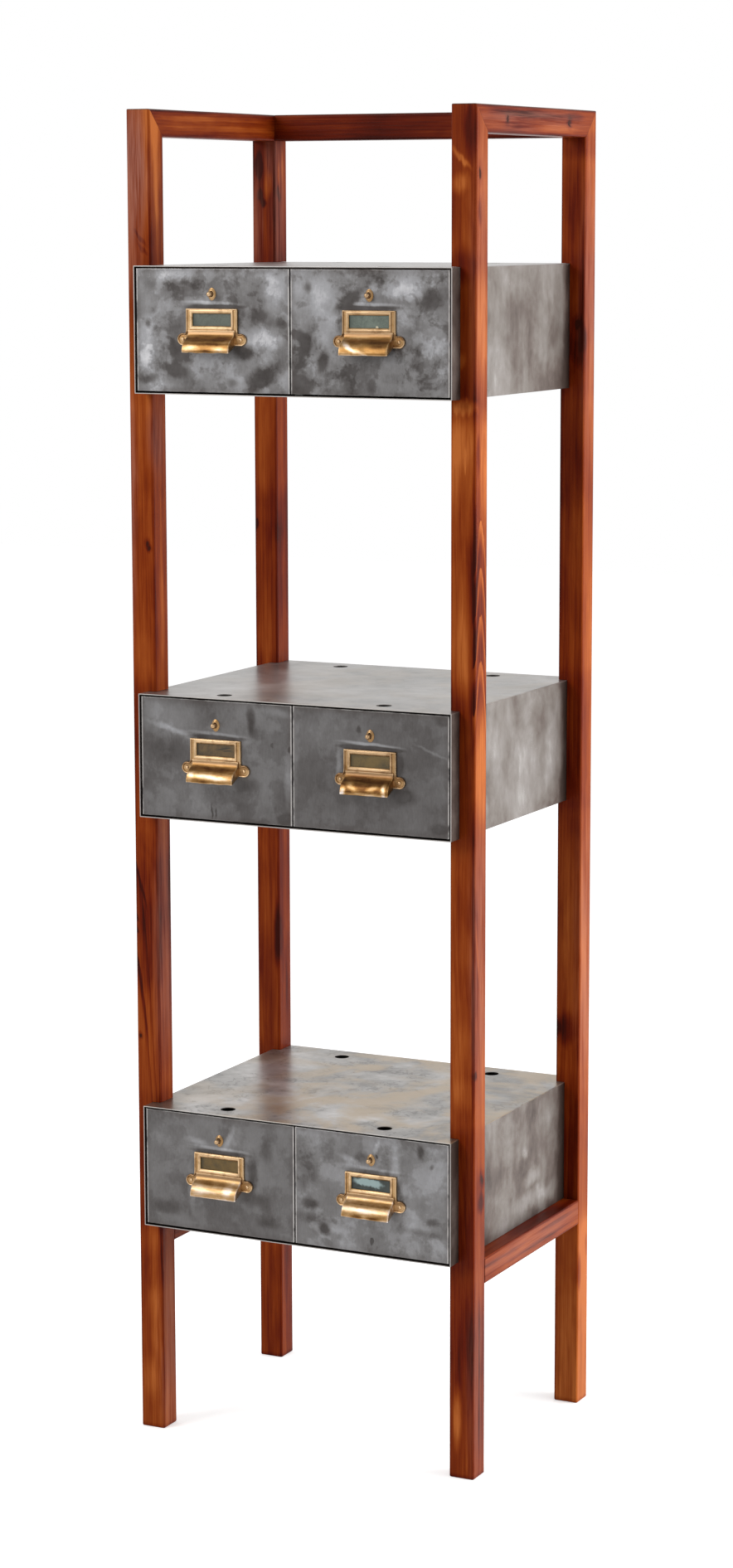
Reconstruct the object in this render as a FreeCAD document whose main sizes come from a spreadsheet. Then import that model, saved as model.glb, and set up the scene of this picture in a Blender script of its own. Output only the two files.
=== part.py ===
import FreeCAD, Part
import math
import os
import re
import Sketcher

# A tall stained pine frame that carries three steel drawer units, each with two card drawers.
# Millimetres. The origin lies on the floor, under the middle of the whole object.
# +Z is up, the drawers open towards -Y and +X is to the right of someone facing them.

document = FreeCAD.newDocument("DrawerCabinet")
sheet = document.addObject("Spreadsheet::Sheet", "Sizes")

# Driving dimensions: name, value, meaning
drivingSizes = [
    ("frameWidth", 540, "outside of left posts to outside of right posts"),
    ("frameDepth", 410, "front of front posts to back of back posts"),
    ("frameHeight", 1916, "floor to top of frame"),
    ("lumberSize", 38, "side of the square dressed lumber"),
    ("lumberEdge", 3, "rounding of the lumber's long edges"),
    ("footEdge", 2, "rounding round each foot"),
    ("firstLevel", 316, "floor to underside of the bottom unit"),
    ("topRoom", 178, "top of the top unit to underside of the top rails"),
    ("notchGrip", 14, "how far a steel unit reaches into each post"),
    ("dowelDiameter", 8, "wooden dowel"),
    ("dowelLength", 36, "wooden dowel"),
    ("dowelEndRoom", 1, "room past each end of a dowel for glue"),
    ("dowelFit", 0.1, "radial room round a dowel or a screw shank"),
    ("caseDepth", 436, "outside of a steel unit"),
    ("caseHeight", 178, "outside of a steel unit"),
    ("caseSheet", 1.2, "sheet steel of the case"),
    ("caseEdge", 1, "outside bend of the case"),
    ("notchRoom", 0.3, "room between a case and its notch"),
    ("stackHole", 22, "diameter of the holes in the top of a case"),
    ("stackHoleInset", 120, "side of the case to a hole's centre"),
    ("stackHoleSetback", 36, "front or back edge of the case to a hole's centre"),
    ("backFlange", 12, "flange of the back panel"),
    ("weldRoom", 0.2, "room between welded sheets"),
    ("lipSetback", 16, "front of the case to the catch lip"),
    ("lipHeight", 12, "catch lip, down from the case top"),
    ("partitionFlange", 12, "flanges of the partition"),
    ("runnerWidth", 14, "shelf of the runner angle"),
    ("runnerHeight", 18, "upright of the runner angle"),
    ("runnerSheet", 1.2, "sheet steel of the runners"),
    ("slideRoom", 0.3, "room between a sliding drawer and its runner"),
    ("frontGap", 2.5, "gap between a drawer front and the case"),
    ("middleGap", 2, "gap between the two drawer fronts"),
    ("frontInset", 1.5, "drawer face behind the front of the case"),
    ("frontSheet", 1.5, "sheet steel of the drawer front"),
    ("frontReturn", 10.5, "depth of the drawer front with its returned edges"),
    ("frontEdge", 0.8, "rounding of the drawer front"),
    ("traySheet", 1, "sheet steel of the drawer tray"),
    ("trayLength", 410, "drawer tray"),
    ("trayHeight", 152, "drawer tray"),
    ("drawerTravel", 300, "how far a drawer opens"),
    ("stopLength", 15, "stop tab on a tray's side"),
    ("stopHeight", 12, "stop tab above the tray's side"),
    ("stopRoom", 0.5, "room between a stop tab and the catch lip at full travel"),
    ("pullLevel", 89, "underside of the case to the line between label frame and cup"),
    ("plateWidth", 81, "label frame"),
    ("plateRise", 30.5, "label frame above the line"),
    ("plateDrop", 20, "plate behind the cup, below the line"),
    ("plateThickness", 2.2, "cast plate"),
    ("windowWidth", 60.5, "label window"),
    ("windowHeight", 17.2, "label window"),
    ("windowLevel", 15, "middle of the label window above the line"),
    ("cardWidth", 65, "label card"),
    ("cardHeight", 21.5, "label card"),
    ("cardThickness", 0.4, "label card"),
    ("cardRoom", 0.6, "room round the card in its recess"),
    ("rimWidth", 68, "raised rim round the label window"),
    ("rimHeight", 1.6, "raised rim over the plate"),
    ("lipWidth", 2.5, "raised outer lips of the label frame"),
    ("cupWidth", 74, "cup"),
    ("cupReach", 23, "front of the cup from the drawer face"),
    ("cupDrop", 30, "lower edge of the cup below the line"),
    ("cupWall", 2.2, "wall of the cup"),
    ("earRadius", 8.5, "ear of the pull"),
    ("earSpacing", 91.5, "centre to centre of the two ears"),
    ("earDrop", 12, "centre of an ear below the line"),
    ("earDish", 0.8, "dished middle of an ear"),
    ("earRim", 1.8, "rim round the dish"),
    ("pinDiameter", 3.5, "shank of a pull pin"),
    ("pinHead", 5.5, "head of a pull pin"),
    ("pinTail", 3, "shank behind the drawer front"),
    ("knobLevel", 139.5, "underside of the case to the knob's axis"),
    ("roseDiameter", 14, "rose under the knob"),
    ("roseTop", 8, "front of the rose"),
    ("roseHeight", 2.5, "rose"),
    ("knobNeck", 4, "neck and spindle of the knob"),
    ("knobBall", 7, "ball of the knob"),
    ("knobFlange", 6, "flange of the spindle in front of the rose"),
    ("knobFlangeLength", 1, "flange of the spindle in front of the rose"),
    ("knobReach", 9.5, "centre of the ball from the drawer face"),
    ("spindleRoom", 0.05, "radial running room round the spindle"),
    ("collarDiameter", 9, "collar behind the drawer front"),
    ("collarLength", 2, "collar behind the drawer front"),
    ("collarRoom", 0.1, "end room of the spindle's collar"),
    ("tongueReach", 33, "spindle axis to the end of the tongue"),
    ("tongueWidth", 10, "tongue of the catch"),
    ("tongueThickness", 2, "tongue of the catch"),
    ("tongueRoom", 1.3, "room between the tongue and the lip"),
    ("screwDiameter", 4, "shank of a case screw"),
    ("screwLength", 16, "shank of a case screw"),
    ("screwHead", 8, "head of a case screw"),
    ("screwHeadHeight", 2, "head of a case screw"),
    ("screwEndRoom", 1, "room past the end of a screw"),
    ("screwLevel", 100, "underside of the case to its screws"),
    ("cutRoom", 1, "how far a cut runs past what it cuts"),
]

for row, (sizeName, sizeValue, meaning) in enumerate(drivingSizes, start=1):
    sheet.set("A%d" % row, sizeName)
    sheet.set("B%d" % row, str(sizeValue))
    sheet.set("C%d" % row, meaning)
    sheet.setAlias("B%d" % row, sizeName)
document.recompute()

sizeNames = {name for name, value, meaning in drivingSizes}

# Derived measures, written once and used as text in the expressions below
derived = {
    "backPlane": "((caseDepth + cupReach - frontInset) / 2)",
    "caseFront": "(backPlane - caseDepth)",
    "frameFront": "(backPlane - frameDepth)",
    "postX": "((frameWidth - lumberSize) / 2)",
    "frontPostY": "(frameFront + lumberSize / 2)",
    "backPostY": "(backPlane - lumberSize / 2)",
    "caseWidth": "(frameWidth - 2 * lumberSize + 2 * notchGrip)",
    "notchDepth": "(notchGrip + notchRoom)",
    "levelPitch": "((frameHeight - lumberSize - topRoom - caseHeight - firstLevel) / 2)",
    "stackHoleX": "(caseWidth / 2 - stackHoleInset)",
    "innerWidth": "(caseWidth - 2 * caseSheet)",
    "innerTop": "(caseHeight - caseSheet)",
    "frontWidth": "((innerWidth - middleGap) / 2 - frontGap)",
    "frontLow": "(caseSheet + frontGap)",
    "frontHigh": "(innerTop - frontGap)",
    "drawerX": "((middleGap + frontWidth) / 2)",
    "plateFace": "(frontInset - plateThickness)",
    "trayWidth": "(frontWidth - 2 * frontSheet - 2 * weldRoom)",
    "trayLow": "(frontLow + frontSheet + weldRoom)",
    "trayFront": "(frontInset + frontSheet)",
    "runnerTop": "(trayLow - slideRoom)",
    "lipBack": "(lipSetback + caseSheet)",
    "backInside": "(caseDepth - backFlange)",
    "sideScrewX": "(innerWidth / 2)",
}


def expand(text):
    """Replaces each derived word by its formula and each size by its cell."""
    def swap(match):
        word = match.group(0)
        if word in derived:
            return expand(derived[word])
        return "Sizes." + word if word in sizeNames else word
    return re.sub(r"[A-Za-z]+", swap, str(text))


def amount(text):
    """Value of an expression, in millimetres."""
    result = sheet.evalExpression(expand(text))
    return float(getattr(result, "Value", result))


def bind(thing, path, text):
    thing.setExpression(path, expand(text))


def place(thing, x="0", y="0", z="0"):
    bind(thing, "Placement.Base.x", x)
    bind(thing, "Placement.Base.y", y)
    bind(thing, "Placement.Base.z", z)


# Sketches and their features

def newBody(name):
    body = document.addObject("PartDesign::Body", name)
    body.Label = name
    return body


def newSketch(body, plane, offset="0"):
    """A sketch on one of the body's own planes; XZ sketches count the offset towards +Y."""
    support = [item for item in body.Origin.OriginFeatures if item.Role == plane + "_Plane"][0]
    sketch = body.newObject("Sketcher::SketchObject", body.Name + "Sketch")
    sketch.AttachmentSupport = [(support, "")]
    sketch.MapMode = "FlatFace"
    bind(sketch, "AttachmentOffset.Base.z", "-(%s)" % offset if plane == "XZ" else offset)
    return sketch


def fix(sketch, kind, item, point, text):
    """Ties one coordinate of a sketch point to an expression."""
    index = sketch.addConstraint(Sketcher.Constraint(kind, -1, 1, item, point, amount(text)))
    bind(sketch, "Constraints[%d]" % index, text)


def outline(sketch, corners, arcs=None):
    """A closed outline through corners given as text; arcs maps a side to its centre's first coordinate."""
    arcs = arcs or {}
    points = [(amount(across), amount(up)) for across, up in corners]
    first = sketch.GeometryCount
    count = len(points)
    for side, (start, end) in enumerate(zip(points, points[1:] + points[:1])):
        if side in arcs:
            addQuarter(sketch, start, end, amount(arcs[side]))
        else:
            sketch.addGeometry(Part.LineSegment(FreeCAD.Vector(*start), FreeCAD.Vector(*end)))
    for side in range(count):
        following = first + (side + 1) % count
        sketch.addConstraint(Sketcher.Constraint("Coincident", first + side, 2, following, 1))
    for side, (across, up) in enumerate(corners):
        fix(sketch, "DistanceX", first + side, 1, across)
        fix(sketch, "DistanceY", first + side, 1, up)
    for side, centre in arcs.items():
        fix(sketch, "DistanceX", first + side, 3, centre)


def addQuarter(sketch, start, end, centreAcross):
    """A quarter round from the point above its centre to the point level with its centre."""
    centre = FreeCAD.Vector(centreAcross, end[1])
    circle = Part.Circle(centre, FreeCAD.Vector(0, 0, 1), start[1] - end[1])
    sketch.addGeometry(Part.ArcOfCircle(circle, math.pi / 2, math.pi))


def rectangle(sketch, left, right, low, high):
    outline(sketch, [(left, low), (right, low), (right, high), (left, high)])


def disc(sketch, across, up, radius):
    centre = FreeCAD.Vector(amount(across), amount(up))
    item = sketch.addGeometry(Part.Circle(centre, FreeCAD.Vector(0, 0, 1), amount(radius)))
    fix(sketch, "DistanceX", item, 3, across)
    fix(sketch, "DistanceY", item, 3, up)
    index = sketch.addConstraint(Sketcher.Constraint("Radius", item, amount(radius)))
    bind(sketch, "Constraints[%d]" % index, radius)


def feature(kind, body, sketch, length, backward=False, middle=False):
    """A pad or a pocket of a sketch, checked to change the volume."""
    before = 0 if body.Tip is None else body.Shape.Volume
    thing = body.newObject("PartDesign::" + kind, body.Name + kind)
    thing.Profile = sketch
    bind(thing, "Length", length)
    thing.Reversed = backward
    thing.Midplane = middle
    sketch.Visibility = False
    document.recompute()
    change = body.Shape.Volume - before
    if change == 0 or (change > 0) != (kind == "Pad"):
        raise ValueError("%s of %s changes nothing" % (kind, body.Label))
    return thing


def soften(body, radius, chosen):
    """Fillets the edges that the test picks."""
    edges = ["Edge%d" % (index + 1) for index, edge in enumerate(body.Tip.Shape.Edges) if chosen(edge)]
    fillet = body.newObject("PartDesign::Fillet", body.Name + "Fillet")
    fillet.Base = (document.getObject(fillet.BaseFeature.Name), edges)
    bind(fillet, "Radius", radius)
    document.recompute()
    return fillet


shortEdge = 1
sameLevel = 0.01


def runsAlong(edge, axis):
    box = edge.BoundBox
    lengths = {"x": box.XLength, "y": box.YLength, "z": box.ZLength}
    return all((length > shortEdge) == (name == axis) for name, length in lengths.items())


def liesAt(edge, axis, level):
    box = edge.BoundBox
    low, high = {"x": (box.XMin, box.XMax), "y": (box.YMin, box.YMax), "z": (box.ZMin, box.ZMax)}[axis]
    return abs(low - level) < sameLevel and abs(high - level) < sameLevel


# Simple solids

turns = {
    "x": FreeCAD.Rotation(FreeCAD.Vector(0, 1, 0), 90),
    "y": FreeCAD.Rotation(FreeCAD.Vector(1, 0, 0), -90),
    "-y": FreeCAD.Rotation(FreeCAD.Vector(1, 0, 0), 90),
    "-x": FreeCAD.Rotation(FreeCAD.Vector(0, 1, 0), -90),
    "z": FreeCAD.Rotation(),
}


def rod(name, axis, length, radius, x, y, z):
    """A cylinder that starts at x, y, z and runs along an axis."""
    thing = document.addObject("Part::Cylinder", name)
    thing.Placement = FreeCAD.Placement(FreeCAD.Vector(), turns[axis])
    bind(thing, "Radius", radius)
    bind(thing, "Height", length)
    place(thing, x, y, z)
    return thing


def block(name, width, depth, height, x, y, z):
    thing = document.addObject("Part::Box", name)
    bind(thing, "Length", width)
    bind(thing, "Width", depth)
    bind(thing, "Height", height)
    place(thing, x, y, z)
    return thing


def gather(kind, name, things):
    """A Part::Compound or Part::MultiFuse of several solids."""
    group = document.addObject("Part::" + kind, name)
    if kind == "Compound":
        group.Links = things
    else:
        group.Shapes = things
    return group


def carve(name, base, tools):
    """The base less its tools, as a Part::Cut."""
    cut = document.addObject("Part::Cut", name)
    cut.Base = base
    cut.Tool = gather("Compound", name + "Tools", tools)
    return cut


nodes = []


def finishNode(thing, name):
    thing.Label = name
    nodes.append(thing)
    return thing


# Dowels: each is a pin and the bore that its two members share

dowelPins = []
dowelParts = (
    ("Pin", "dowelLength", "dowelDiameter / 2"),
    ("Bore", "(dowelLength + 2 * dowelEndRoom)", "dowelDiameter / 2 + dowelFit"),
)


def dowel(name, axis, x, y, z):
    """A dowel centred on x, y, z along x or y, and its bore."""
    things = []
    for part, length, radius in dowelParts:
        startX = "%s - %s / 2" % (x, length) if axis == "x" else x
        startY = "%s - %s / 2" % (y, length) if axis == "y" else y
        things.append(rod(name + part, axis, length, radius, startX, startY, z))
    dowelPins.append(things[0])
    return things[1]


def mitreDowel(name, x, y, z, rear):
    """A dowel square to a mitre between a post and a side rail."""
    tilt = FreeCAD.Rotation(FreeCAD.Vector(1, 0, 0), -45 if not rear else 45)
    things = []
    for part, length, radius in dowelParts:
        thing = document.addObject("Part::Cylinder", name + part)
        thing.Placement = FreeCAD.Placement(FreeCAD.Vector(), tilt)
        bind(thing, "Radius", radius)
        bind(thing, "Height", length)
        lean = "%s / 2 * sqrt(0.5)" % length
        place(thing, x, "%s %s %s" % (y, "+" if rear else "-", lean), "%s - %s" % (z, lean))
        things.append(thing)
    dowelPins.append(things[0])
    return things[1]


# Case screws: each goes through a case wall into a post

screwPins = []
levels = ["firstLevel", "(firstLevel + levelPitch)", "(firstLevel + 2 * levelPitch)"]
unitNames = ["bottom", "middle", "top"]


def caseScrew(name, side, y, z):
    """A screw from inside the case into a post, and its bore."""
    axis = "x" if side > 0 else "-x"
    sign = "" if side > 0 else "-"
    shank = rod(name + "Shank", axis, "screwLength", "screwDiameter / 2", sign + "sideScrewX", y, z)
    headStart = sign + "(sideScrewX - screwHeadHeight)"
    head = rod(name + "Head", axis, "screwHeadHeight", "screwHead / 2", headStart, y, z)
    screwPins.append(gather("MultiFuse", name + "Screw", [shank, head]))
    return rod(name + "Bore", axis, "screwLength + screwEndRoom", "screwDiameter / 2 + dowelFit",
               sign + "sideScrewX", y, z)


screwBores = {}
for unitName, level in zip(unitNames, levels):
    for side, sideName in ((-1, "Left"), (1, "Right")):
        for row, y in (("Front", "frontPostY"), ("Back", "backPostY")):
            key = (unitName, sideName, row)
            screwBores[key] = caseScrew(unitName + sideName + row, side, y, level + " + screwLevel")

# Frame: posts, rails and stretchers

mitreMiddle = "(frameHeight - lumberSize / 2)"
dowelBores = {}
for side, sideName in (("-postX", "Left"), ("postX", "Right")):
    dowelBores["mitre", sideName, "Front"] = mitreDowel(
        "mitre" + sideName + "Front", side, "frontPostY", mitreMiddle, False)
    dowelBores["mitre", sideName, "Back"] = mitreDowel(
        "mitre" + sideName + "Back", side, "backPostY", mitreMiddle, True)
    stretcherMiddle = "(firstLevel - lumberSize / 2)"
    dowelBores["stretcher", sideName, "Front"] = dowel(
        "stretcher" + sideName + "Front", "y", side, "(frameFront + lumberSize)", stretcherMiddle)
    dowelBores["stretcher", sideName, "Back"] = dowel(
        "stretcher" + sideName + "Back", "y", side, "(backPlane - lumberSize)", stretcherMiddle)
    sign = "-" if sideName == "Left" else ""
    railLevel = "(frameHeight - lumberSize / 2 - dowelDiameter)"
    dowelBores["rail", sideName, "Back"] = dowel(
        "rail" + sideName, "x", sign + "(frameWidth / 2 - lumberSize)", "backPostY", railLevel)


def post(name, sideName, rowName):
    """A square post, mitred at the top and notched where the cases pass."""
    half = "lumberSize / 2"
    body = newBody(name + "Wood")
    section = newSketch(body, "XY")
    rectangle(section, "-" + half, half, "-" + half, half)
    feature("Pad", body, section, "frameHeight")
    soften(body, "lumberEdge", lambda edge: runsAlong(edge, "z"))
    soften(body, "footEdge", lambda edge: liesAt(edge, "z", 0))
    inward = "" if rowName == "Front" else "-"
    mitre = newSketch(body, "YZ")
    outside, inside = ("-", "") if inward == "" else ("", "-")
    outline(mitre, [
        (outside + "(%s)" % half, "frameHeight"),
        (inside + "(%s)" % half, "frameHeight - lumberSize"),
        (inside + "lumberSize", "frameHeight - lumberSize"),
        (inside + "lumberSize", "frameHeight + lumberSize"),
        (outside + "(%s)" % half, "frameHeight + lumberSize"),
    ])
    feature("Pocket", body, mitre, "2 * lumberSize", middle=True)
    notch = newSketch(body, "XZ")
    across = ("-lumberSize", "notchDepth - " + half)
    if sideName == "Left":
        across = (half + " - notchDepth", "lumberSize")
    rectangle(notch, *across, "firstLevel", "firstLevel + caseHeight + notchRoom")
    pocket = feature("Pocket", body, notch, "2 * lumberSize", middle=True)
    pattern = body.newObject("PartDesign::LinearPattern", body.Name + "Notches")
    pattern.Originals = [pocket]
    upward = [item for item in body.Origin.OriginFeatures if item.Role == "Z_Axis"][0]
    pattern.Direction = (upward, [""])
    pattern.Occurrences = len(levels)
    bind(pattern, "Length", "levelPitch * %d" % (len(levels) - 1))
    body.Tip = pattern
    place(body, "-postX" if sideName == "Left" else "postX",
          "frontPostY" if rowName == "Front" else "backPostY")
    bores = [screwBores[unitName, sideName, rowName] for unitName in unitNames]
    bores.append(dowelBores["mitre", sideName, rowName])
    bores.append(dowelBores["stretcher", sideName, rowName])
    if rowName == "Back":
        bores.append(dowelBores["rail", sideName, rowName])
    finishNode(carve(name + "Bored", body, bores), name)


def sideRail(name, sideName):
    """A top rail from front to back, mitred to both posts."""
    body = newBody(name + "Wood")
    shape = newSketch(body, "YZ")
    outline(shape, [
        ("0", "0"),
        ("frameDepth", "0"),
        ("frameDepth - lumberSize", "-lumberSize"),
        ("lumberSize", "-lumberSize"),
    ])
    feature("Pad", body, shape, "lumberSize", middle=True)
    soften(body, "lumberEdge", lambda edge: runsAlong(edge, "y"))
    place(body, "-postX" if sideName == "Left" else "postX", "frameFront", "frameHeight")
    bores = [dowelBores["mitre", sideName, row] for row in ("Front", "Back")]
    bores.append(dowelBores["rail", sideName, "Back"])
    finishNode(carve(name + "Bored", body, bores), name)


def stretcher(name, sideName):
    """A lower stretcher between a front and a back post, under the bottom unit."""
    half = "lumberSize / 2"
    body = newBody(name + "Wood")
    section = newSketch(body, "XZ")
    rectangle(section, "-" + half, half, "-lumberSize", "0")
    feature("Pad", body, section, "frameDepth - 2 * lumberSize", backward=True)
    soften(body, "lumberEdge", lambda edge: runsAlong(edge, "y"))
    place(body, "-postX" if sideName == "Left" else "postX", "frameFront + lumberSize", "firstLevel")
    bores = [dowelBores["stretcher", sideName, row] for row in ("Front", "Back")]
    finishNode(carve(name + "Bored", body, bores), name)


def backRail(name):
    """The top rail between the two back posts."""
    half = "lumberSize / 2"
    body = newBody(name + "Wood")
    section = newSketch(body, "YZ")
    rectangle(section, "-" + half, half, "-lumberSize", "0")
    feature("Pad", body, section, "frameWidth - 2 * lumberSize", middle=True)
    soften(body, "lumberEdge", lambda edge: runsAlong(edge, "x"))
    place(body, "0", "backPostY", "frameHeight")
    bores = [dowelBores["rail", sideName, "Back"] for sideName in ("Left", "Right")]
    finishNode(carve(name + "Bored", body, bores), name)


for sideName in ("Left", "Right"):
    side = sideName.lower()
    for rowName in ("Front", "Back"):
        post("%s_%s_post" % (rowName.lower(), side), sideName, rowName)
    sideRail(side + "_top_rail", sideName)
    stretcher(side + "_stretcher", sideName)
backRail("back_top_rail")
finishNode(gather("Compound", "frameDowels", dowelPins), "frame_dowels")
finishNode(gather("Compound", "caseScrews", screwPins), "case_screws")


# Steel units: each piece is drawn with the case's front edge at y 0 and its underside at z 0

def caseShell(unitName, level):
    """The wrapper: top, floor and two sides, with the catch lip under the front of the top."""
    halfWidth = "(caseWidth / 2)"
    halfInner = "(innerWidth / 2)"
    body = newBody(unitName + "CaseSteel")
    section = newSketch(body, "XZ")
    rectangle(section, "-" + halfWidth, halfWidth, "0", "caseHeight")
    feature("Pad", body, section, "caseDepth", backward=True)
    soften(body, "caseEdge", lambda edge: runsAlong(edge, "y"))
    hollow = newSketch(body, "XZ")
    rectangle(hollow, "-" + halfInner, halfInner, "caseSheet", "innerTop")
    feature("Pocket", body, hollow, "caseDepth")
    lip = newSketch(body, "XZ", "lipSetback")
    rectangle(lip, "-" + halfInner, halfInner, "innerTop - lipHeight", "innerTop")
    feature("Pad", body, lip, "caseSheet", backward=True)
    holes = newSketch(body, "XY", "caseHeight")
    for x in ("-stackHoleX", "stackHoleX"):
        for y in ("stackHoleSetback", "caseDepth - stackHoleSetback"):
            disc(holes, x, y, "stackHole / 2")
    feature("Pocket", body, holes, "2 * caseSheet")
    place(body, "0", "caseFront", level)
    bores = [bore for key, bore in screwBores.items() if key[0] == unitName]
    finishNode(carve(unitName + "CaseBored", body, bores), unitName + "_case")


def backPanel(unitName, level):
    """The panel that closes the back, with flanges welded inside the case."""
    body = newBody(unitName + "Back")
    half = "(innerWidth / 2 - weldRoom)"
    low, high = "(caseSheet + weldRoom)", "(innerTop - weldRoom)"
    plate = newSketch(body, "XZ", "caseDepth - backFlange")
    rectangle(plate, "-" + half, half, low, high)
    feature("Pad", body, plate, "backFlange", backward=True)
    inside = newSketch(body, "XZ", "caseDepth - backFlange")
    rectangle(inside, "-(%s - caseSheet)" % half, "%s - caseSheet" % half,
              low + " + caseSheet", high + " - caseSheet")
    feature("Pocket", body, inside, "backFlange - caseSheet")
    place(body, "0", "caseFront", level)
    finishNode(body, unitName + "_back_panel")


def partition(unitName, level):
    """The upright sheet between the two drawers, flanged top and bottom."""
    body = newBody(unitName + "Partition")
    section = newSketch(body, "XZ", "lipBack + weldRoom")
    near, far = "-caseSheet / 2", "partitionFlange - caseSheet / 2"
    inner = "caseSheet / 2"
    outline(section, [
        (near, "caseSheet"),
        (far, "caseSheet"),
        (far, "2 * caseSheet"),
        (inner, "2 * caseSheet"),
        (inner, "innerTop - caseSheet"),
        (far, "innerTop - caseSheet"),
        (far, "innerTop"),
        (near, "innerTop"),
    ])
    feature("Pad", body, section, "backInside - lipBack - 2 * weldRoom", backward=True)
    place(body, "0", "caseFront", level)
    finishNode(body, unitName + "_partition")


def runners(unitName, level):
    """Four angles that carry the two drawers, on the case's sides and on the partition."""
    length = "(backInside - lipBack - 2 * weldRoom)"
    start = "caseFront + lipBack + weldRoom"
    low = "(runnerTop - runnerSheet)"
    angles = []
    for side, sideName in ((-1, "Left"), (1, "Right")):
        for wall in ("Outer", "Inner"):
            name = unitName + sideName + wall + "Runner"
            if wall == "Outer":
                edge = "innerWidth / 2"
                spans = {-1: ("-%s" % edge, "-%s" % edge),
                         1: ("%s - runnerSheet" % edge, "%s - runnerWidth" % edge)}[side]
            else:
                edge = "caseSheet / 2"
                spans = {-1: ("-%s - runnerSheet" % edge, "-%s - runnerWidth" % edge),
                         1: (edge, edge)}[side]
            upright = block(name + "Upright", "runnerSheet", length, "runnerHeight",
                            spans[0], start, level + " + " + low)
            shelf = block(name + "Shelf", "runnerWidth", length, "runnerSheet",
                          spans[1], start, level + " + " + low)
            angles.append(gather("MultiFuse", name, [upright, shelf]))
    finishNode(gather("Compound", unitName + "Runners", angles), unitName + "_runners")


# Drawers: drawn with the drawer's middle at x 0, the case's front edge at y 0 and its underside at z 0

def drawerFront(name, x, level):
    """A steel pan with returned edges, bored for the pull's pins and the knob's spindle."""
    body = newBody(name + "Front")
    half = "(frontWidth / 2)"
    face = newSketch(body, "XZ", "frontInset")
    rectangle(face, "-" + half, half, "frontLow", "frontHigh")
    feature("Pad", body, face, "frontReturn", backward=True)
    faceLevel = amount("frontInset")
    soften(body, "frontEdge", lambda edge: liesAt(edge, "y", faceLevel))
    inside = newSketch(body, "XZ", "frontInset + frontReturn")
    rectangle(inside, "-(%s - frontSheet)" % half, "%s - frontSheet" % half,
              "frontLow + frontSheet", "frontHigh - frontSheet")
    feature("Pocket", body, inside, "frontReturn - frontSheet", backward=True)
    holes = newSketch(body, "XZ", "frontInset")
    disc(holes, "-earSpacing / 2", "pullLevel - earDrop", "pinDiameter / 2 + dowelFit")
    disc(holes, "earSpacing / 2", "pullLevel - earDrop", "pinDiameter / 2 + dowelFit")
    disc(holes, "0", "knobLevel", "knobNeck / 2 + spindleRoom")
    feature("Pocket", body, holes, "frontSheet")
    place(body, x, "caseFront", level)
    finishNode(body, name + "_front")


def tray(name, x, level):
    """The open box behind the front, with a stop tab on each side."""
    body = newBody(name + "Tray")
    half = "(trayWidth / 2)"
    back = "(trayFront + trayLength)"
    floor = newSketch(body, "XY", "trayLow")
    rectangle(floor, "-" + half, half, "trayFront", back)
    feature("Pad", body, floor, "trayHeight")
    inside = newSketch(body, "XY", "trayLow + trayHeight")
    rectangle(inside, "-(%s - traySheet)" % half, "%s - traySheet" % half,
              "trayFront - traySheet", back + " - traySheet")
    feature("Pocket", body, inside, "trayHeight - traySheet")
    tabs = newSketch(body, "XY", "trayLow + trayHeight")
    tabFront = "(lipBack + drawerTravel + stopRoom)"
    for inner, outer in (("-%s" % half, "-%s + traySheet" % half), ("%s - traySheet" % half, half)):
        rectangle(tabs, inner, outer, tabFront, tabFront + " + stopLength")
    feature("Pad", body, tabs, "stopHeight")
    place(body, x, "caseFront", level)
    finishNode(body, name + "_tray")


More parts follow.
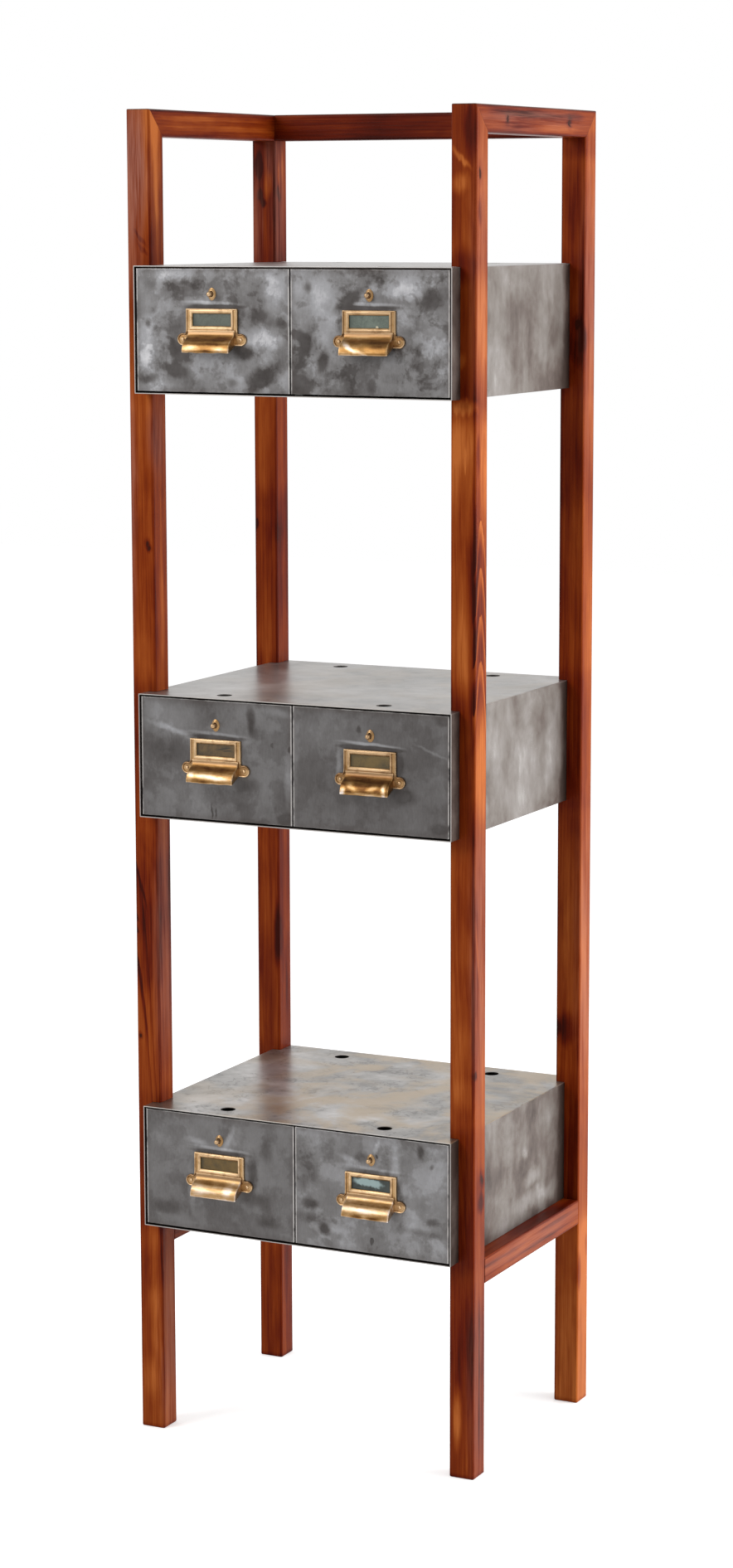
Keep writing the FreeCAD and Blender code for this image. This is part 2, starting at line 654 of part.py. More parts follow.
def pull(name, x, level):
    """The cast label holder and cup, in one piece, with an ear for a pin on each side."""
    body = newBody(name + "Pull")
    half = "(plateWidth / 2)"
    top, low = "(pullLevel + plateRise)", "(pullLevel - plateDrop)"
    earLevel = "(pullLevel - earDrop)"
    plate = newSketch(body, "XZ", "frontInset")
    rectangle(plate, "-" + half, half, low, top)
    feature("Pad", body, plate, "plateThickness")
    for sign in ("-", ""):
        ear = newSketch(body, "XZ", "frontInset")
        disc(ear, sign + "earSpacing / 2", earLevel, "earRadius")
        feature("Pad", body, ear, "plateThickness")
    window = "(pullLevel + windowLevel)"
    rim = newSketch(body, "XZ", "plateFace")
    rectangle(rim, "-rimWidth / 2", "rimWidth / 2", "pullLevel + lipWidth / 2", top)
    rectangle(rim, "-windowWidth / 2", "windowWidth / 2",
              window + " - windowHeight / 2", window + " + windowHeight / 2")
    feature("Pad", body, rim, "rimHeight")
    lips = newSketch(body, "XZ", "plateFace")
    rectangle(lips, "-" + half, "-%s + lipWidth" % half, "pullLevel", top)
    rectangle(lips, "%s - lipWidth" % half, half, "pullLevel", top)
    feature("Pad", body, lips, "rimHeight")
    cup = newSketch(body, "YZ")
    reach = "(frontInset - cupReach)"
    radius = "(cupReach - plateThickness)"
    outline(cup, [
        ("plateFace", "pullLevel"),
        (reach, "pullLevel - %s" % radius),
        (reach, "pullLevel - cupDrop"),
        ("plateFace", low),
    ], arcs={0: "plateFace"})
    feature("Pad", body, cup, "cupWidth", middle=True)
    hollow = newSketch(body, "YZ")
    outline(hollow, [
        ("plateFace", "pullLevel - cupWall"),
        (reach + " + cupWall", "pullLevel - %s" % radius),
        (reach + " + cupWall", "pullLevel - cupDrop - cupWall"),
        ("plateFace", "pullLevel - cupDrop - cupWall"),
    ], arcs={0: "plateFace"})
    feature("Pocket", body, hollow, "cupWidth - 2 * cupWall", middle=True)
    opening = newSketch(body, "XZ", "frontInset")
    rectangle(opening, "-windowWidth / 2", "windowWidth / 2",
              window + " - windowHeight / 2", window + " + windowHeight / 2")
    feature("Pocket", body, opening, "plateThickness", backward=True)
    recess = newSketch(body, "XZ", "frontInset")
    rectangle(recess, "-(cardWidth / 2 + cardRoom)", "cardWidth / 2 + cardRoom",
              window + " - cardHeight / 2 - cardRoom", window + " + cardHeight / 2 + cardRoom")
    feature("Pocket", body, recess, "cardThickness + cardRoom", backward=True)
    dishes = newSketch(body, "XZ", "plateFace")
    bores = newSketch(body, "XZ", "frontInset")
    for sign in ("-", ""):
        disc(dishes, sign + "earSpacing / 2", earLevel, "earRadius - earRim")
        disc(bores, sign + "earSpacing / 2", earLevel, "pinDiameter / 2 + dowelFit")
    feature("Pocket", body, dishes, "earDish")
    feature("Pocket", body, bores, "plateThickness", backward=True)
    place(body, x, "caseFront", level)
    finishNode(body, name + "_pull")


def fixings(name, x, level):
    """Two dome-headed pins through the ears, and the rose that the knob turns in."""
    pieces = []
    headSeat = "(plateFace + earDish)"
    for sign, sideName in (("-", "Left"), ("+", "Right")):
        earX = "%s %s earSpacing / 2" % (x, sign)
        spot = (earX, "caseFront + " + headSeat, level + " + pullLevel - earDrop")
        shank = rod(name + sideName + "PinShank", "y", "trayFront + pinTail - " + headSeat,
                    "pinDiameter / 2", *spot)
        dome = document.addObject("Part::Sphere", name + sideName + "PinDome")
        dome.Placement = FreeCAD.Placement(FreeCAD.Vector(), turns["-y"])
        dome.Angle1 = 0
        bind(dome, "Radius", "pinHead / 2")
        place(dome, *spot)
        pieces.append(gather("MultiFuse", name + sideName + "Pin", [shank, dome]))
    rose = document.addObject("Part::Cone", name + "RoseCone")
    rose.Placement = FreeCAD.Placement(FreeCAD.Vector(), turns["-y"])
    bind(rose, "Radius1", "roseDiameter / 2")
    bind(rose, "Radius2", "roseTop / 2")
    bind(rose, "Height", "roseHeight")
    place(rose, x, "caseFront + frontInset", level + " + knobLevel")
    bore = rod(name + "RoseBore", "-y", "roseHeight + 2 * cutRoom", "knobNeck / 2 + spindleRoom",
               x, "caseFront + frontInset + cutRoom", level + " + knobLevel")
    pieces.append(carve(name + "Rose", rose, [bore]))
    finishNode(gather("Compound", name + "Fixings", pieces), name + "_fixings")


def labelCard(name, x, level):
    """The card behind the window of the label holder."""
    card = block(name + "Card", "cardWidth", "cardThickness", "cardHeight",
                 x + " - cardWidth / 2", "caseFront + frontInset - cardThickness",
                 level + " + pullLevel + windowLevel - cardHeight / 2")
    finishNode(card, name + "_label_card")


def catch(name, x, level):
    """The small knob, its spindle and collar, and the tongue that turns up behind the lip."""
    axisLevel = level + " + knobLevel"
    tongueFront = "(lipBack + tongueRoom)"
    ball = document.addObject("Part::Sphere", name + "Ball")
    bind(ball, "Radius", "knobBall / 2")
    place(ball, x, "caseFront + frontInset - knobReach", axisLevel)
    spindle = rod(name + "Spindle", "y", "knobReach - frontInset + %s + tongueThickness" % tongueFront,
                  "knobNeck / 2", x, "caseFront + frontInset - knobReach", axisLevel)
    collar = rod(name + "Collar", "y", "collarLength", "collarDiameter / 2",
                 x, "caseFront + trayFront + collarRoom", axisLevel)
    flange = rod(name + "Flange", "-y", "knobFlangeLength", "knobFlange / 2",
                 x, "caseFront + frontInset - roseHeight - collarRoom", axisLevel)
    bar = block(name + "Bar", "tongueReach - tongueWidth / 2", "tongueThickness", "tongueWidth",
                x, "caseFront + " + tongueFront, axisLevel + " - tongueWidth / 2")
    tip = rod(name + "Tip", "y", "tongueThickness", "tongueWidth / 2",
              x + " + tongueReach - tongueWidth / 2", "caseFront + " + tongueFront, axisLevel)
    hub = rod(name + "Hub", "y", "tongueThickness", "tongueWidth / 2",
              x, "caseFront + " + tongueFront, axisLevel)
    whole = gather("MultiFuse", name + "Catch", [ball, spindle, collar, flange, bar, tip, hub])
    finishNode(whole, name + "_catch")


for unitName, level in zip(unitNames, levels):
    caseShell(unitName, level)
    backPanel(unitName, level)
    partition(unitName, level)
    runners(unitName, level)
    for sideName, x in (("left", "-drawerX"), ("right", "drawerX")):
        drawerName = unitName + "_" + sideName
        drawerFront(drawerName, x, level)
        tray(drawerName, x, level)
        pull(drawerName, x, level)
        fixings(drawerName, x, level)
        labelCard(drawerName, x, level)
        catch(drawerName, x, level)

# Every object must have computed, and every piece must be a valid solid, before a file is written

document.recompute()
for item in document.Objects:
    if "Invalid" in item.State or "Error" in item.State:
        raise ValueError("%s did not compute: %s" % (item.Label, item.State))
for node in nodes:
    if node.Shape.isNull() or not node.Shape.isValid() or not node.Shape.Solids:
        raise ValueError("%s is not a valid solid" % node.Label)

os.makedirs("parts", exist_ok=True)
for node in nodes:
    node.Shape.exportStep("parts/%s.step" % node.Label)
print("%d pieces written" % len(nodes))
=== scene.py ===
import bmesh
import bpy
import math
from mathutils import Matrix, Vector, noise


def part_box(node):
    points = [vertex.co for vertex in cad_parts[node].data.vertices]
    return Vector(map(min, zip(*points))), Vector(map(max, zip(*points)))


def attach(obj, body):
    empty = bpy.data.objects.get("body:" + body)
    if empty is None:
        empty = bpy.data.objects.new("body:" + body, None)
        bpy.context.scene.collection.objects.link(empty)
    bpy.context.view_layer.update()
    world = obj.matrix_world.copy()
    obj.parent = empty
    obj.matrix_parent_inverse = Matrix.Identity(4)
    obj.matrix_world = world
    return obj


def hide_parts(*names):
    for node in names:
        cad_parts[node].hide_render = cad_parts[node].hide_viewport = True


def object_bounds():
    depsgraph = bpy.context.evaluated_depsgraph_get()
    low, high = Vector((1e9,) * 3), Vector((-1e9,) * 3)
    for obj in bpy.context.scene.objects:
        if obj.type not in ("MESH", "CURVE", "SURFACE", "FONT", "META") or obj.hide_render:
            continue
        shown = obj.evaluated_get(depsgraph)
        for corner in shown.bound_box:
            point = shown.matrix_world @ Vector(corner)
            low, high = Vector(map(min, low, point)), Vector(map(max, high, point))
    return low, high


# A tall stained pine frame with three steel card drawer units and brass label holder pulls.

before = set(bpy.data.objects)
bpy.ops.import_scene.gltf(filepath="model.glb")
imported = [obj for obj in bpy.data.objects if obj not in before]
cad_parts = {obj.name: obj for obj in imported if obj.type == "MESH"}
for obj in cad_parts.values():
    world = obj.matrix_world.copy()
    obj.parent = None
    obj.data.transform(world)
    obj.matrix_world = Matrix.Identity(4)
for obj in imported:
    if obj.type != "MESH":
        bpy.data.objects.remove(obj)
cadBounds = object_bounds()
scene = bpy.context.scene
units = ("bottom", "middle", "top")
sides = ("left", "right")
mm = 0.001
print("frame loaded:", len(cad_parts), "nodes")


# Shader maths as Python expressions

class Wire:
    def __init__(self, paint, socket):
        self.paint = paint
        self.socket = socket

    def maths(self, operation, *values):
        return self.paint.node("Math", {"operation": operation}, dict(enumerate(values)))

    def __add__(self, other):
        return self.maths("ADD", self, other)

    def __radd__(self, other):
        return self.maths("ADD", other, self)

    def __sub__(self, other):
        return self.maths("SUBTRACT", self, other)

    def __rsub__(self, other):
        return self.maths("SUBTRACT", other, self)

    def __mul__(self, other):
        return self.maths("MULTIPLY", self, other)

    def __rmul__(self, other):
        return self.maths("MULTIPLY", other, self)

    def __truediv__(self, other):
        return self.maths("DIVIDE", self, other)

    def __pow__(self, other):
        return self.maths("POWER", self, other)

    def __neg__(self):
        return self.maths("MULTIPLY", self, -1)

    def __abs__(self):
        return self.maths("ABSOLUTE", self)

    def least(self, other):
        return self.maths("MINIMUM", self, other)

    def most(self, other):
        return self.maths("MAXIMUM", self, other)

    def fraction(self):
        return self.maths("FRACT", self)

    def exponent(self):
        return self.maths("EXPONENT", self)

    def ease(self, low, high, start, end):
        return self.paint.node("MapRange", {"interpolation_type": "SMOOTHSTEP"},
                               {"Value": self, "From Min": low, "From Max": high, "To Min": start, "To Max": end})

    def rise(self, low, high, end=1.0):
        return self.ease(low, high, 0.0, end)

    def fall(self, low, high, start=1.0):
        return self.ease(low, high, start, 0.0)


class Paint:
    def __init__(self, name):
        self.material = bpy.data.materials.new(name)
        self.material.use_nodes = True
        self.tree = self.material.node_tree
        self.tree.nodes.clear()
        self.place = self.node("TexCoord", output="Object")
        self.parts = {axis: self.node("SeparateXYZ", {}, {0: self.place}, axis) for axis in "XYZ"}

    def node(self, kind, settings=None, sockets=None, output=0):
        item = self.tree.nodes.new("ShaderNode" + kind)
        for key, value in (settings or {}).items():
            if key == "stops":
                ramp = item.color_ramp
                while len(ramp.elements) < len(value):
                    ramp.elements.new(0.5)
                for element, (position, colour) in zip(ramp.elements, value):
                    element.position = position
                    element.color = (*colour, 1)
            else:
                setattr(item, key, value)
        for key, value in (sockets or {}).items():
            if isinstance(value, Wire):
                self.tree.links.new(value.socket, item.inputs[key])
            else:
                item.inputs[key].default_value = value
        return Wire(self, item.outputs[output]) if item.outputs else item

    def vector(self, x, y, z):
        return self.node("CombineXYZ", {}, {0: x, 1: y, 2: z})

    def blend(self, factor, first, second, way="MIX"):
        colours = [(*value, 1) if isinstance(value, tuple) else value for value in (first, second)]
        return self.node("Mix", {"data_type": "RGBA", "blend_type": way},
                         {0: factor, 6: colours[0], 7: colours[1]}, 2)

    def ramp(self, value, stops):
        return self.node("ValToRGB", {"stops": stops}, {0: value})

    def cloud(self, scale, detail=3, rough=0.5, twist=0, where=None, seed=0.0, stretch=(1, 1, 1), output=0):
        vector = self.node("Mapping", {}, {"Vector": where or self.place, "Location": (seed, seed * 0.7, -seed),
                                           "Scale": stretch})
        return self.node("TexNoise", {}, {"Vector": vector, "Scale": scale, "Detail": detail,
                                          "Roughness": rough, "Distortion": twist}, output)

    def cells(self, scale, where=None, seed=0.0):
        vector = self.node("Mapping", {}, {"Vector": where or self.place, "Location": (seed, -seed, seed)})
        return self.node("TexVoronoi", {}, {"Vector": vector, "Scale": scale}, "Distance")

    def ragged(self, amount, scale, seed, stretch=(1, 1, 1)):
        push = self.cloud(scale, 3, 0.6, seed=seed, stretch=stretch, output="Color")
        moved = self.node("VectorMath", {"operation": "MULTIPLY_ADD"}, {0: push, 1: amount, 2: self.place})
        return self.node("VectorMath", {"operation": "SUBTRACT"}, {0: moved, 1: [value / 2 for value in amount]})

    def gap(self, centre, radii, where=None, turn=(0, 0, 0)):
        near = self.node("Mapping", {"vector_type": "TEXTURE"},
                         {"Vector": where or self.place, "Location": centre, "Rotation": turn, "Scale": radii})
        return self.node("VectorMath", {"operation": "LENGTH"}, {0: near}, "Value")

    def marks(self, shade, face, origin, spots, where, soft=0.6, share=1.0):
        for across, up, halfAcross, halfUp, turn, strength in spots:
            far = self.gap(where=where, **onFace(face, origin, across, up, halfAcross, halfUp, turn))
            shade = shade + far.fall(1 - soft, 1 + soft, strength * share)
        return shade

    def finish(self, colour, roughness, metallic=0.0, height=None, depth=0.0004, coat=0.0, **fixed):
        sockets = {"Base Color": colour, "Roughness": roughness, "Metallic": metallic, "Coat Weight": coat}
        sockets.update(fixed)
        if height is not None:
            sockets["Normal"] = self.node("Bump", {}, {"Strength": 1.0, "Distance": depth, "Height": height})
        shader = self.node("BsdfPrincipled", {}, sockets)
        self.node("OutputMaterial", {}, {"Surface": shader})
        return self.material


def onFace(face, origin, across, up, halfAcross, halfUp, turn=0, depth=0.012):
    x, y, z = origin
    a, b, ra, rb, t = across * mm, up * mm, halfAcross * mm, halfUp * mm, math.radians(turn)
    if face == "front":
        return dict(centre=(x + a, y, z + b), radii=(ra, depth, rb), turn=(0, -t, 0))
    if face == "right":
        return dict(centre=(x, y + a, z + b), radii=(depth, ra, rb), turn=(t, 0, 0))
    return dict(centre=(x + a, y + b, z), radii=(ra, rb, depth), turn=(0, 0, t))


# Stained pine: rings round a heart that may lean, with streaks, bloom and painted sheen, flames and knots.
# Marks on a face are (across, up, half across, half up, turn, strength) in mm from its low left corner.

pine = {
    "ring": 0.0042,
    "stops": ((0.0, (0.035, 0.003, 0.001)), (0.25, (0.11, 0.009, 0.0012)), (0.5, (0.205, 0.030, 0.003)),
              (0.75, (0.30, 0.062, 0.009)), (1.0, (0.46, 0.125, 0.026))),
    # mauve bloom: partly a haze in the varnish, partly painted reflection of the pale surroundings
    "bloomAndSheen": (0.34, 0.135, 0.095),
    "knot": (0.030, 0.006, 0.003),
    # pale colour of the arrises: wear and painted highlight
    "arris": (0.50, 0.19, 0.09),
    "topEdge": (0.045, 0.034, 0.018),
    "roughness": 0.36,
    "mitreLine": 0.0005,
}
low, high = cadBounds
top = high[2]
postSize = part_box("front_left_post")[1][0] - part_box("front_left_post")[0][0]
unitLow = {unit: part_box(unit + "_case")[0][2] for unit in units}
unitHigh = {unit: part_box(unit + "_case")[1][2] for unit in units}


def stainedPine(name, along, tone, rightTone, heart, lean=(0.0, 0.0), seed=1.0, wander=0.012, bands=(), front=(), right=(),
                frontBloomAndSheen=(), rightBloomAndSheen=(), knots=(), flames=(), mitres=(), lively=1.0):
    paint = Paint("stainedPine_" + name)
    lowCorner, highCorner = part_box(name)
    axes = {"Z": "XYZ", "Y": "XZY", "X": "YZX"}[along]
    a, b, length = (paint.parts[axis] for axis in axes)
    slow = [0.2 if axis == along else 1.0 for axis in "XYZ"]
    torn = paint.ragged([0.022 if axis == along else 0.004 for axis in "XYZ"], 110, seed, slow)
    corners = {"front": lowCorner, "right": (highCorner[0], lowCorner[1], lowCorner[2])}

    # rings, bent round the knots
    bow = paint.cloud(1.0, 2, 0.5, where=paint.vector(length * 1.7, seed, 0), seed=seed)
    sway = paint.cloud(1.0, 2, 0.5, where=paint.vector(length * 2.3, seed + 5, 3), seed=seed)
    u = a - heart[0] + length * lean[0] + (bow - 0.5) * wander
    v = b - heart[1] + length * lean[1] + (sway - 0.5) * wander
    waver = (paint.cloud(46, 3, 0.55, where=paint.vector(a, b, length * 0.045), seed=seed) - 0.5) * 0.0035
    radius = (u * u + v * v) ** 0.5 + waver
    knotMask, halo = [], []
    for face, across, up, size, stretch in knots:
        far = paint.gap(where=torn, **onFace(face, corners[face], across, up, size, size * stretch, depth=size * mm))
        radius = radius + (far * -0.55).exponent() * (size * mm * 0.9)
        knotMask.append(far.fall(0.7, 1.3))
        halo.append(far.fall(0.9, 3.0))
    phase = (radius / pine["ring"]).fraction()
    late = (phase ** 2.2) * phase.fall(0.93, 1.0)

    # tone of each face, the right-hand face partly its own tone and partly painted light from the right, then streaks
    # and blotches
    fibres = paint.cloud(900, 2, 0.6, where=paint.vector(a, b, length * 0.02), seed=seed)
    streaks = paint.cloud(105, 3, 0.6, where=paint.vector(a, b, length * 0.04), seed=seed + 9)
    wide = paint.cloud(42, 2, 0.5, where=paint.vector(a, b, length * 0.06), seed=seed + 4)
    blotch = paint.cloud(15, 3, 0.55, 0.3, where=paint.vector(a * 1.3, b * 1.3, length * 0.45), seed=seed + 2)
    rightFaceToneAndLight = paint.parts["X"].rise(highCorner[0] - 0.004, highCorner[0] - 0.0005, rightTone - tone)
    grain = (streaks - 0.5) * 0.70 + (wide - 0.5) * 0.45 + (blotch - 0.5) * 0.75
    shade = rightFaceToneAndLight + grain * lively + (fibres - 0.5) * 0.34 - late * 0.10 + (tone + 0.03)
    for start, end, soft, change in bands:
        shade = shade + length.rise(start - soft, start + soft, change) * length.fall(end - soft, end + soft)
    shade = paint.marks(shade, "front", corners["front"], front, torn)
    shade = paint.marks(shade, "right", corners["right"], right, torn)
    for face, across, tip, pitch, count, bend, strength in flames:
        axis, start = ("X", lowCorner[0]) if face == "front" else ("Y", lowCorner[1])
        side = (paint.parts[axis] - (start + across * mm)) * (1 / mm)
        rise = paint.parts["Z"] * (1 / mm) + side * side * bend + (streaks - 0.5) * 30
        tongue = ((rise - tip) / pitch).fraction()
        facing = paint.parts["Y"].fall(lowCorner[1] + 0.001, lowCorner[1] + 0.006) if face == "front" \
            else paint.parts["X"].rise(highCorner[0] - 0.006, highCorner[0] - 0.001)
        window = rise.rise(tip - pitch * count, tip - pitch * (count - 0.5)) * rise.fall(tip, tip + 6)
        shade = shade + (tongue.rise(0.35, 0.97) * tongue.fall(0.97, 1.0) - 0.3) * window * facing * strength
    halfA, halfB = ((highCorner["XYZ".index(axis)] - lowCorner["XYZ".index(axis)]) / 2 for axis in axes[:2])
    midA, midB = ((highCorner["XYZ".index(axis)] + lowCorner["XYZ".index(axis)]) / 2 for axis in axes[:2])
    arris = (halfA - abs(a - midA)).most(halfB - abs(b - midB))
    # darker line just inside each arris: painted shade on the rounded edges
    shade = shade - arris.rise(0.0006, 0.0014) * arris.fall(0.0018, 0.0045, 0.16)
    for ring in halo:
        shade = shade - ring * 0.22
    if along == "Z":
        shade = shade - length.fall(0.001, 0.008, 0.22)  # scuffed feet
    colour = paint.ramp(shade, pine["stops"])

    # mauve bloom in the grain, partly a haze in the varnish and partly painted reflection of the pale surroundings;
    # pale arrises, partly wear and partly painted highlight; knots and joint lines
    bloomAndSheen = paint.marks(0, "front", corners["front"], frontBloomAndSheen, torn)
    bloomAndSheen = paint.marks(bloomAndSheen, "right", corners["right"], rightBloomAndSheen, torn)
    if frontBloomAndSheen or rightBloomAndSheen:
        colour = paint.blend(bloomAndSheen * (streaks + (fibres - 0.5) * 0.6).rise(0.30, 0.66), colour, pine["bloomAndSheen"])
    # pale line along the arrises, patchy: partly wear, partly painted highlight on the rounded edge
    paleEdge = arris.fall(0.0003, 0.0010, 0.6) * wide.rise(0.35, 0.60)
    colour = paint.blend(paleEdge, colour, pine["arris"])
    topLine = paint.parts["Z"].rise(top - 0.0018, top - 0.0008) * paint.parts["Z"].fall(top - 0.0002, top, 0.55)
    colour = paint.blend(topLine + paint.parts["Z"].rise(top - 0.0002, top, 0.30), colour, pine["topEdge"])
    for spot in knotMask:
        colour = paint.blend(spot * 0.9, colour, pine["knot"])
    for planeY, planeZ, planeMove in mitres:
        line = abs(paint.parts["Y"] * planeY + paint.parts["Z"] * planeZ - planeMove).fall(0.0, pine["mitreLine"], 0.85)
        colour = paint.blend(line, colour, pine["knot"])
    height = fibres * 0.35 + late * 0.5 + streaks * 0.3
    roughness = (blotch - 0.5) * 0.16 + fibres * 0.08 + (pine["roughness"] - 0.04)
    return paint.finish(colour, roughness, 0.0, height, 0.00010, **{"Specular IOR Level": 0.05})


root = 2 ** 0.5
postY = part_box("front_left_post")[0][1]
frontMitre = (1 / root, 1 / root, (postY + top) / root)
backMitre = (-1 / root, 1 / root, (top - high[1]) / root)
